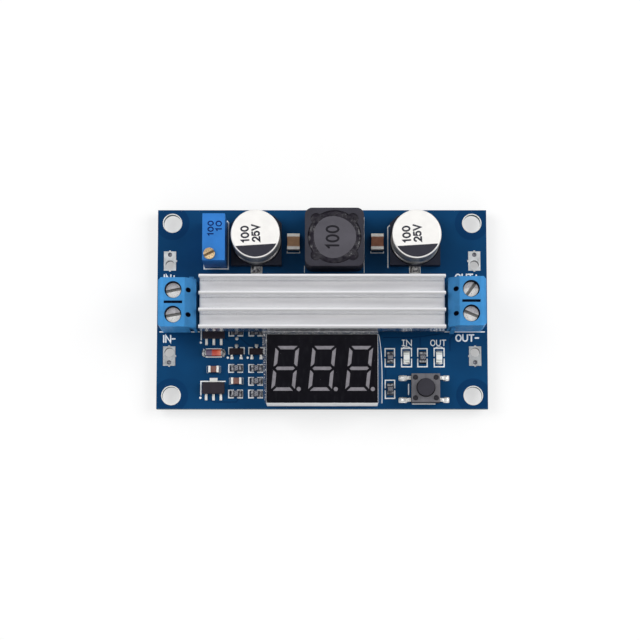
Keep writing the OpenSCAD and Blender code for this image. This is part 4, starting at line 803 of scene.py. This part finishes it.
def silk_line(shape, *points, width=SILK_WIDTH, step=0):
    ribbon(shape, points, width, BOARD_TOP, PRINT_RISE + step * PRINT_STEP)


def silk_dot(shape, x, y, radius=0.24):
    prism(shape, circle((x, y), radius, 16), BOARD_TOP, BOARD_TOP + PRINT_RISE)


def bracket_pair(shape, x, y, frame_size, lying=False):
    """Two brackets that face each other round a chip, open in the middle of the long sides."""
    along, across, gap = frame_size
    for side in (-1, 1):
        near, far = side * gap, side * along
        corners = ((near, across), (far, across), (far, -across), (near, -across))
        silk_line(shape, *[(x + a, y + b) if lying else (x + b, y + a) for a, b in corners])


def silk_frames(shape):
    """Outlines printed round the small parts of the front row."""
    for low, high in islands("resistor_bodies"):
        spot = (low + high) / 2
        if high.x - low.x > high.y - low.y:
            bracket_pair(shape, spot.x - 0.16, spot.y - 0.05, LYING_FRAME, lying=True)
        else:
            bracket_pair(shape, spot.x - 0.08, spot.y - 0.03, STANDING_FRAME)
    for low, high in islands("lamp_bases"):
        spot = (low + high) / 2
        bracket_pair(shape, spot.x, spot.y, LAMP_FRAME)
        arch = arc(spot.x, spot.y + LAMP_FRAME[0], 0.8, 0.3, 12, 168)
        silk_line(shape, *arch, width=0.16, step=1)


def silk_outlines(shape):
    """Lines printed beside the larger parts."""
    low, high = box_of("trimmer_body")
    right, front, left = high.x + 0.32, low.y - 0.3, low.x - 0.12
    silk_line(shape, (right - 0.3, high.y + 0.15), (right, high.y - 0.2), (right, front), (left, front),
              (left, front + 1.6))
    low, high = box_of("output_capacitor_base")
    left = low.x - 0.4
    silk_line(shape, (low.x, high.y - 1.7), (left, high.y - 2.1), (left, low.y - 0.2))
    low, high = box_of("inductor_shield")
    for x, back in ((high.x + 0.14, high.y - 0.6), (low.x - 0.14, low.y + 1.2)):
        silk_line(shape, (x, back), (x, low.y - 0.1), width=0.14)
    front = middle("heatsink").y - 5.1
    low, high = box_of("input_terminal_housing")
    silk_line(shape, (high.x + 0.3, front), (low.x - 0.25, front))
    low, high = box_of("output_terminal_housing")
    silk_line(shape, (low.x - 0.3, front), (high.x + 0.25, front))
    low, high = box_of("switch_base")
    silk_line(shape, (low.x - 0.47, low.y + 1.8), (low.x - 0.47, low.y + 3.9))
    silk_line(shape, (low.x + 0.3, low.y - 0.14), (high.x - 0.9, low.y - 0.14))
    spot = middle("diode_glass")
    for y in (spot.y - 0.82, spot.y + 0.82):
        silk_line(shape, (spot.x - 1.57, y), (spot.x + 1.57, y), width=0.26)
    for low, high in islands("regulator_bodies"):
        left, back, x = low.x - 0.35, high.y + 0.22, (low.x + high.x) / 2
        silk_line(shape, (x - 0.85, back), (left, back), (left, low.y - 0.1))
        silk_line(shape, (x + 0.85, back), (high.x + 0.1, back))
        silk_dot(shape, left - 0.08, low.y - 0.7)
    for low, high in islands("ceramic_bodies"):
        if high.y - low.y > high.x - low.x:
            x, y = (low.x + high.x) / 2, low.y - 0.5
            silk_line(shape, (x - 1.3, y + 0.28), (x - 1.3, y), (x + 1.3, y), (x + 1.3, y + 0.28), width=0.17)
    for low, high in islands("transistor_bodies"):
        back = high.y + 0.15
        for side, x in ((1, low.x - 0.12), (-1, high.x + 0.12)):
            silk_line(shape, (x + side * 0.75, back), (x, back), (x, low.y + 0.25))
        silk_dot(shape, low.x - 0.35, low.y - 0.55)


def worn_lines(shape):
    """Thin worn print beside the small ceramics."""
    for low, high in islands("ceramic_bodies"):
        if high.x - low.x > high.y - low.y:
            spot = (low + high) / 2
            for side in (-1, 1):
                x = spot.x + side * 1.42
                corners = ((x - side * 0.2, 0.7), (x, 0.62), (x, -0.62), (x - side * 0.2, -0.7))
                silk_line(shape, *[(px, spot.y + py) for px, py in corners], width=0.13)


def silk_legends(shape):
    """Plain IN and OUT legends beside the terminals and lamps."""
    for words, left, right, low, high, width in LEGENDS:
        centre = ((left + right) / 2, (low + high) / 2)
        lettering(shape, words, centre, (right - left, high - low, width), BOARD_TOP)


def mask_traces(shape):
    """Gaps between copper areas, dark under the mask."""
    for line in TRACES:
        ribbon(shape, line, TRACE_WIDTH, BOARD_TOP, TRACE_RISE)


# Marks on the parts

CHIP_NUMBER, CORE_NUMBER = (0.95, 0.66, 0.12), (4.4, 2.4, 0.42)
# Lean of the cans' marks, share of the radius at which the dark segment starts, and its margin
MARK_LEAN, MARK_START, MARK_MARGIN = 3.6, 0.483, 0.3
SEGMENT_RIM = 0.13


def chip_numbers(shape):
    """Plain numbers printed on the resistors."""
    for low, high in islands("resistor_coats"):
        turn = 0.0 if high.x - low.x > high.y - low.y else math.pi / 2
        lettering(shape, "100", (low + high) / 2, CHIP_NUMBER, top_of("resistor_coats"), turn)


def can_marks(shape):
    """The dark segment that marks the minus side, its chord leaning a little."""
    reach, turn = math.degrees(math.acos(MARK_START)), MARK_LEAN - 90
    for name in both("capacitor_can"):
        spot, high = middle(name), box_of(name)[1]
        radius = high.x - spot.x - MARK_MARGIN
        outline = arc(spot.x, spot.y, radius, radius, turn - reach, turn + reach, 40)
        prism(shape, outline, high.z, high.z + PRINT_RISE)


def can_numbers(shape):
    """Plain numbers printed above the dark segment, read from the right."""
    for name in both("capacitor_can"):
        spot, turn = middle(name), math.radians(90 + MARK_LEAN)
        for words, x, y, length in (("100", -2.1, -0.1, 3.1), ("25V", 0.08, 0.15, 3.3)):
            lettering(shape, words, (spot.x + x, spot.y + y), (length, 1.4, 0.35), top_of(name), turn)


def trimmer_numbers(shape):
    """Plain numbers printed on the trimmer's top, read from the right."""
    low, high = box_of("trimmer_body")
    size = high - low
    for words, across, along in (("100", 0.37, 0.68), ("10", 0.73, 0.73)):
        spot = (low.x + across * size.x, low.y + along * size.y)
        lettering(shape, words, spot, (len(words) * 0.95, 1.05, 0.25), high.z, math.pi / 2)


def core_numbers(shape):
    """Plain numbers printed on the inductor's core."""
    spot = middle("inductor_core")
    lettering(shape, "100", (spot.x - 0.4, spot.y), CORE_NUMBER, top_of("inductor_core"), math.pi / 2)


def segment_edges(shape):
    """The black rim that the display's face leaves round each light bar."""
    top = top_of("display_segments")
    for points in island_points("display_segments"):
        spot = sum(points, Vector()) / len(points)
        rim = {(round(p.x, 3), round(p.y, 3)) for p in points if p.z > top - 0.01}
        around = sorted(rim, key=lambda p: math.atan2(p[1] - spot.y, p[0] - spot.x))
        ribbon(shape, around, SEGMENT_RIM, top, closed=True)


# Solder

def fillet(shape, foot, outward, width, reach, height, steps=6):
    """A concave solder wedge against an upright face: foot is the middle of its lower inner edge."""
    across = Vector((-outward.y, outward.x, 0))
    rows = []
    for u in (i / steps for i in range(steps + 1)):
        row = []
        for v in (2 * j / steps - 1 for j in range(steps + 1)):
            crown = max(0.0, 1 - abs(v) ** 2.5 * 0.75)
            rise = height * (1 - u) ** 1.9 * crown + 0.02 * (1 - u)
            run = reach * u * (1 - 0.35 * u * u * abs(v))
            spot = foot + outward * run + across * v * width / 2 * (1 + 0.2 * u)
            row.append(shape.verts.new(spot + Vector((0, 0, rise))))
        rows.append(row)
    bridge(shape, rows, closed=False)


def pad_plate(shape, centre, size, thickness=0.035):
    """A tinned copper pad with clipped corners on the board's top."""
    x, y = size[0] / 2, size[1] / 2
    clip = min(x, y) * 0.25
    corners = ((x, clip - y), (x, y - clip), (x - clip, y), (clip - x, y),
               (-x, y - clip), (-x, clip - y), (clip - x, -y), (x - clip, -y))
    prism(shape, [(centre.x + px, centre.y + py) for px, py in corners], BOARD_TOP, BOARD_TOP + thickness)


def foot_solder(shape, solid, outward, reach, margin, climb):
    """A pad under a metal foot, and a fillet against the foot's outer end."""
    low, high = solid
    size, spot = high - low, (low + high) / 2
    along_x = abs(outward.x) > 0.5
    half, width = (size.x / 2, size.y) if along_x else (size.y / 2, size.x)
    tip = Vector((spot.x, spot.y, BOARD_TOP)) + outward * half
    length = half + reach
    pad = (length, width + 2 * margin) if along_x else (width + 2 * margin, length)
    pad_plate(shape, tip + outward * (reach - length / 2), pad)
    fillet(shape, tip, outward, width, reach * 0.9, climb)


def away_from(solid, others):
    """The way to a solid from the nearest of some others, between the middles of their boxes."""
    spot = (solid[0] + solid[1]) / 2
    return min((spot - (low + high) / 2 for low, high in others), key=lambda way: way.length)


def chip_solder(shape, node, reach, margin, climb, wanted=lambda end: True):
    """Solder at both metal ends of each chip; the ends are slabs across the chip's length."""
    ends = [end for end in islands(node) if wanted(end)]
    for end in ends:
        way, size = away_from(end, [e for e in ends if e[0] != end[0]]), end[1] - end[0]
        axis = ALONG_X if size.x < size.y else ALONG_Y
        foot_solder(shape, end, axis * math.copysign(1, way.dot(axis)), reach, margin, size.z * climb)


def lead_solder(shape, node, bodies, axis, reaches, margin, climb):
    """Solder at the tips of leads that leave their bodies both ways along an axis: a reach for each way."""
    for lead in islands(node):
        side = math.copysign(1, away_from(lead, islands(bodies)).dot(axis))
        foot_solder(shape, lead, axis * side, reaches[side > 0], margin, climb)


def top_solder(shape):
    """Solder on the board's top, at chips and leads."""
    chip_solder(shape, "ceramic_ends", 0.1, 0.0, 0.3, lambda end: not large_end(end))
    lead_solder(shape, "regulator_leads", "regulator_bodies", ALONG_Y, (0.04, 0.04), 0.02, 0.06)
    lead_solder(shape, "transistor_leads", "transistor_bodies", ALONG_Y, (0.3, 0.3), 0.14, 0.12)
    lead_solder(shape, "switch_leads", "switch_base", ALONG_X, (1.05, 0.55), 0.2, 0.2)
    for low, high in (lead for node in both("capacitor_leads") for lead in islands(node)):
        left, right, front, back = low.x - 0.55, high.x + 0.55, low.y - 0.5, high.y + 0.5
        rim = [(left, front), (right, front), (right, back), (left, back)]
        ribbon(shape, rim, 0.15, BOARD_TOP, 0.05, closed=True)
    for low, high in islands("lamp_bases"):
        y, gap = (low.y + high.y) / 2, 0.25
        foot_solder(shape, (low, Vector((high.x, y - gap, high.z))), -ALONG_Y, 0.4, 0.0, 0.3)
        foot_solder(shape, (Vector((low.x, y + gap, low.z)), high), ALONG_Y, 0.4, 0.0, 0.3)
    blob, blob_r = (-17.49, -6.15), 0.36
    prism(shape, circle(blob, blob_r, 20), BOARD_TOP, BOARD_TOP + 0.06)


def dark_solder(shape):
    """Dark solder round the capacitors' leads and at the diode's ends."""
    chip_solder(shape, "diode_ends", 0.6, -0.2, 0.3)
    for leads, base in zip(both("capacitor_leads"), both("capacitor_base")):
        lead_solder(shape, leads, base, ALONG_Y, (0.5, 0.5), 0.5, 0.2)


def shaded_end_solder(shape):
    """Solder at the ends of the resistors and the large ceramics, dark grey as painted shade and dark
    reflection.
    """
    chip_solder(shape, "resistor_ends", 0.25, 0.0, 0.6)
    chip_solder(shape, "ceramic_ends", 0.12, 0.0, 0.12, large_end)


def pad_ears(shape):
    """Short tinned tongues at the ends and inner sides of the wire pads."""
    for low, high in islands("wire_pads"):
        spot = (low + high) / 2
        inner = high.x if spot.x < 0 else low.x
        for x, y in ((inner, spot.y), (spot.x, low.y), (spot.x, high.y)):
            pad_plate(shape, Vector((x, y, 0)), (0.4, 0.4), high.z - BOARD_TOP - PRINT_STEP)


def turned(shape, centre, profile, count=20):
    """A closed solid of revolution about an upright axis: the profile's ends lie on the axis."""
    rows = [row_at(shape, circle(centre, radius, count), z) for radius, z in profile[1:-1]]
    bridge(shape, rows)
    for row, (radius, z) in ((rows[0], profile[0]), (rows[-1], profile[-1])):
        pole = shape.verts.new((centre[0], centre[1], z))
        for i in range(count):
            shape.faces.new((pole, row[i], row[(i + 1) % count]))


def via_fills(shape):
    """Dished solder in the small hole at the far end of each wire pad, dark grey as painted shade in the
    hole.
    """
    row, from_end = middle("heatsink").y, 0.7
    dish = ((0.0, 0.3), (0.25, 0.26), (0.44, 0.12))
    for low, high in islands("wire_pads"):
        spot = (low + high) / 2
        spot.y = high.y - from_end if spot.y > row else low.y + from_end
        upper = [(radius, high.z - depth) for radius, depth in dish]
        lower = [(radius, low.z + depth) for radius, depth in dish]
        turned(shape, spot, upper + lower[::-1])


PAD_SHEET, CONE_HEIGHT = 0.035, 0.9


def solder_cone(shape, centre, pin_r, pad_r, count=24, steps=5):
    """A pad and a solder cone under the board, concave from the pad to the pin."""
    rows = []
    for u in (i / steps for i in range(steps + 1)):
        radius = pin_r + (pad_r - pin_r) * (1 - u) ** 2.2
        rows.append(row_at(shape, circle(centre, radius, count), BOARD_BOTTOM - 0.02 - CONE_HEIGHT * u))
    bridge(shape, rows)
    washer(shape, centre, pin_r, pad_r, BOARD_BOTTOM - PAD_SHEET, BOARD_BOTTOM, count)


def under_solder(shape):
    """Solder cones and pads where pins come through the board."""
    pads = {"display_pins": 0.75, "trimmer_pins": 0.8, **dict.fromkeys(both("terminal_pins"), 1.25)}
    for node, pad_r in pads.items():
        for low, high in islands(node):
            spot, radius = (low + high) / 2, (high.y - low.y) / 2
            if "terminal" in node:
                inner = high.x if spot.x < 0 else low.x
                spot.x, radius = inner + math.copysign(0.3, spot.x), 0.5
            solder_cone(shape, spot, radius, pad_r)


def glue_bead(shape):
    """Glossy glue that stands up in uneven folds between the inductor's core and shield."""
    core_low, core_high = box_of("inductor_core")
    spot = (core_low + core_high) / 2
    inner = (core_high.x - core_low.x) / 2 - 0.3
    glue_top, lap = top_of("inductor_glue") - 0.02, core_high.z + 0.01
    around, across, width, crest, sway = 160, 10, 1.12, 0.14, 0.12
    rows = []
    for share in (j / across for j in range(across + 1)):
        row = []
        for turn in (2 * math.pi * i / around for i in range(around)):
            fold = 0.6 + 0.25 * math.sin(5 * turn + 0.8) + 0.15 * math.sin(13 * turn + 2.0)
            radius = inner + width * share + sway * math.sin(3 * turn + 1.1) * (1 - share)
            rise = crest * fold * math.sin(math.pi * share) + lap + (glue_top - lap) * share ** 2
            x, y = spot.x + radius * math.cos(turn), spot.y + radius * math.sin(turn)
            row.append(shape.verts.new((x, y, rise)))
        rows.append(row)
    bridge(shape, rows)


RIM_WIDTH, RIM_SHEET = 0.2, 0.03


def hole_rims(shape):
    """Plated rims round the four mounting holes, above and below."""
    for point in MOUNT_HOLES:
        for low in (BOARD_TOP, BOARD_BOTTOM - RIM_SHEET):
            washer(shape, point, MOUNT_R, MOUNT_R + RIM_WIDTH, low, low + RIM_SHEET)


# Spring dome of the switch: its sheet, and the share of its height that it keeps when it is pressed

DOME_SHEET, DOME_KEEP = 0.08, 0.48


def snap_dome(shape):
    """A thin cap of a sphere that stands on the cavity's floor."""
    low, high = box_of("switch_dome")
    radius, rise, steps = (high.x - low.x) / 2, high.z - low.z, 16
    sphere_r = (radius ** 2 + rise ** 2) / (2 * rise)
    centre_z = high.z - sphere_r
    profile = []
    for cap_r, order in ((sphere_r, 1), (sphere_r - DOME_SHEET, -1)):
        lean = math.acos((low.z - centre_z) / cap_r)
        turns = [lean * i / steps for i in range(steps + 1)]
        profile += [(cap_r * math.sin(a), centre_z + cap_r * math.cos(a)) for a in turns][::order]
    turned(shape, middle("switch_dome"), profile, 48)


# Protective film

def film_sheet(shape):
    """The film that lies askew over the display, its back edge lifted and its right front corner bent down.

    U runs from -1 over the left overhang, 0 to 1 over the face and on to 2 over the flap. V runs from the
    front, 0 to 1 over the face and on to 2 over the lifted edge.
    """
    low, high = box_of("display_film")
    face_low, face_high = box_of("display_face")
    face = face_high - face_low
    rows, columns, left_columns, flap_columns = 40, 60, 8, 12
    flat_z = face_high.z + 0.05
    flap, drop, left_reach = 0.85 * (high.x - face_high.x), flat_z - low.z, 1.7 * (face_low.x - low.x)
    layer = shape.loops.layers.uv.new("UVMap")
    grid, places = [], {}
    across = [-1 + i / left_columns for i in range(left_columns)] + [i / columns for i in range(columns)]
    across += [1 + i / flap_columns for i in range(flap_columns + 1)]
    for u in across:
        row = []
        for depth in (j / rows for j in range(rows + 1)):
            y = low.y + (high.y - low.y) * depth
            v = (y - face_low.y) / face.y
            x, z = face_low.x + face.x * min(1.0, max(0.0, u)), flat_z
            if u < 0:
                x += u * left_reach * (0.35 + 0.65 * depth)
            if u > 1:
                out = (u - 1) * (1 - depth ** 6)
                crease = 0.1 * math.sin(7.3 * v + 0.6) + 0.06 * math.sin(19.0 * v + 2.0 * u)
                x += out * flap * (0.94 + 0.06 * math.sin(5.0 * v))
                z -= drop * out ** 1.35 * (0.84 + crease)
            elif v > 1:
                z += 0.8 * (v - 1) * (1 + math.sin(2.1 * x))
            vertex = shape.verts.new((x, y, min(z, high.z + 0.1)))
            places[vertex] = (u, v if v <= 1 else 1 + (y - face_high.y) / (high.y - face_high.y))
            row.append(vertex)
        grid.append(row)
    bridge(shape, grid, closed=False)
    for corner in (corner for patch in shape.faces for corner in patch.loops):
        corner[layer].uv = places[corner.vert]


def add_details():
    for maker, look in (
            (silk_frames, silk), (silk_outlines, silk), (silk_legends, silk), (worn_lines, worn_silk),
            (mask_traces, trace_mask), (chip_numbers, grey_ink), (can_marks, black_ink),
            (can_numbers, black_ink), (core_numbers, core_ink), (trimmer_numbers, blue_ink),
            (segment_edges, display_black)):
        piece_from(maker, look)
    for maker, look, smooth in (
            (top_solder, solder, True), (shaded_end_solder, old_solder, True), (dark_solder, dark_tin, True),
            (pad_ears, pad_tin, False), (via_fills, dull_tin, True), (under_solder, solder, True)):
        piece_from(maker, look, smooth)
    piece_from(glue_bead, black_glue, True)
    piece_from(hole_rims, tin)
    film = piece_from(film_sheet, film_clear(), True)
    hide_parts("display_film")
    dome = piece_from(snap_dome, spring_steel, True)
    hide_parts("switch_dome")
    low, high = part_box("switch_dome")
    foot = (low + high) / 2
    foot.z = low.z
    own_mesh(dome)


# Stage, light and camera

# The floor's reach in metres, its tone and its glow
FLOOR_REACH, FLOOR_COLOR, FLOOR_GLOW = 1.5, (0.38, 0.38, 0.38, 1.0), 0.63
# Shares of the floor's glow that the board takes: near its front and back edges, and under its middle
EDGE_SHADOW, MIDDLE_SHADOW = 0.09, 0.36
SHADOW_RIM = 1.6
# Light of the studio at the horizon and overhead: as it falls on the object, and as mirrors show it
FALLING_LIGHT, MIRRORED_LIGHT = (0.62, 0.45), (0.8, 0.58)
# Heights in the sky, from 0 to 1, between which the horizon's light passes into the light overhead
HORIZON, OVERHEAD = 0.15, 0.7
# The backdrop behind the floor, as the camera sees it
BACKDROP = 0.96
# Softboxes: name, place in metres and watts
SOFTBOX_SIZE = 0.7
SOFTBOXES = (
    ("left_softbox", (-0.75, 0.3, 0.8), 5.0),
    ("right_softbox", (0.8, 0.25, 0.75), 5.5),
    ("front_softbox", (0.1, -1.05, 0.4), 1.5),
)
# Camera, from the photograph's perspective
CAMERA_TILT = math.radians(7.4)
CAMERA_DISTANCE, CAMERA_TARGET = 444.11, Vector((-0.44, -2.29, 1.6))
CAMERA_LENS, CAMERA_SENSOR = 121.65, 36.0


def add_floor():
    """A pale floor under the pin tips: white to camera and mirrors, with a soft shadow under the board."""
    mesh = bpy.data.meshes.new("floor")
    corners = ((-1, -1), (1, -1), (1, 1), (-1, 1))
    mesh.from_pydata([(x * FLOOR_REACH, y * FLOOR_REACH, cad_low.z) for x, y in corners], [], [range(4)])
    floor = add_object("floor", mesh)
    look = Look("pale_floor", color=FLOOR_COLOR, rough=0.9, specular=0.0, glow_color=WHITE)
    rays = look.add("ShaderNodeLightPath").outputs
    seen = look.math("MAXIMUM", rays["Is Camera Ray"], rays["Is Glossy Ray"])
    seen = look.math("MAXIMUM", seen, rays["Is Transmission Ray"])
    side, back, away_y = BOARD_HIGH.x, BOARD_HIGH.y, look.apart(look.y)
    under = look.math("MULTIPLY", look.fall(look.apart(look.x), side - SHADOW_RIM, side),
                      look.fall(away_y, back - SHADOW_RIM, back))
    deep = look.spread(away_y, MIDDLE_SHADOW, EDGE_SHADOW, 0.58 * back, 0.8 * back)
    glow = look.spread(look.math("MULTIPLY", under, deep), FLOOR_GLOW, 0.0, 0.0, 1.0)
    look.set("glow", look.math("MULTIPLY", seen, glow))
    mesh.materials.append(look.material)


def add_world():
    """A pale studio, brighter in mirrors than in the light that it sheds, and white behind the floor."""
    world = bpy.data.worlds.new("studio")
    world.use_nodes = True
    bpy.context.scene.world = world
    sky = Nodes(world.node_tree)
    heading = sky.add("ShaderNodeTexCoord").outputs["Generated"]
    height = sky.add("ShaderNodeSeparateXYZ", {"Vector": heading}).outputs["Z"]
    falling = sky.spread(height, *FALLING_LIGHT, HORIZON, OVERHEAD)
    mirrored = sky.spread(height, *MIRRORED_LIGHT, HORIZON, OVERHEAD)
    rays = sky.add("ShaderNodeLightPath").outputs
    in_mirror = sky.math("MAXIMUM", rays["Is Glossy Ray"], rays["Is Transmission Ray"])
    shown = sky.choose(rays["Is Camera Ray"], sky.choose(in_mirror, falling, mirrored), BACKDROP)
    background = sky.nodes["Background"].inputs
    sky.feed(background["Color"], WHITE)
    sky.feed(background["Strength"], shown)


def add_softboxes():
    for name, place, watts in SOFTBOXES:
        light = bpy.data.lights.new(name, "AREA")
        light.shape = "SQUARE"
        light.size = SOFTBOX_SIZE
        light.energy = watts
        lamp = add_object(name, light)
        lamp.location = place
        lamp.rotation_euler = (-Vector(place)).to_track_quat("-Z", "Y").to_euler()


def add_camera():
    data = bpy.data.cameras.new("camera")
    data.sensor_width = CAMERA_SENSOR
    data.lens = CAMERA_LENS
    data.clip_start = 0.01
    data.clip_end = 20.0
    camera = add_object("camera", data)
    back = Vector((0, -math.sin(CAMERA_TILT), math.cos(CAMERA_TILT)))
    camera.location = (CAMERA_TARGET + back * CAMERA_DISTANCE) * MM
    camera.rotation_euler = (CAMERA_TILT, 0, 0)
    bpy.context.scene.camera = camera


bpy.context.scene.view_settings.view_transform = "Standard"
dress_solids()
soften_solids()
add_details()
add_floor()
add_world()
add_softboxes()
add_camera()
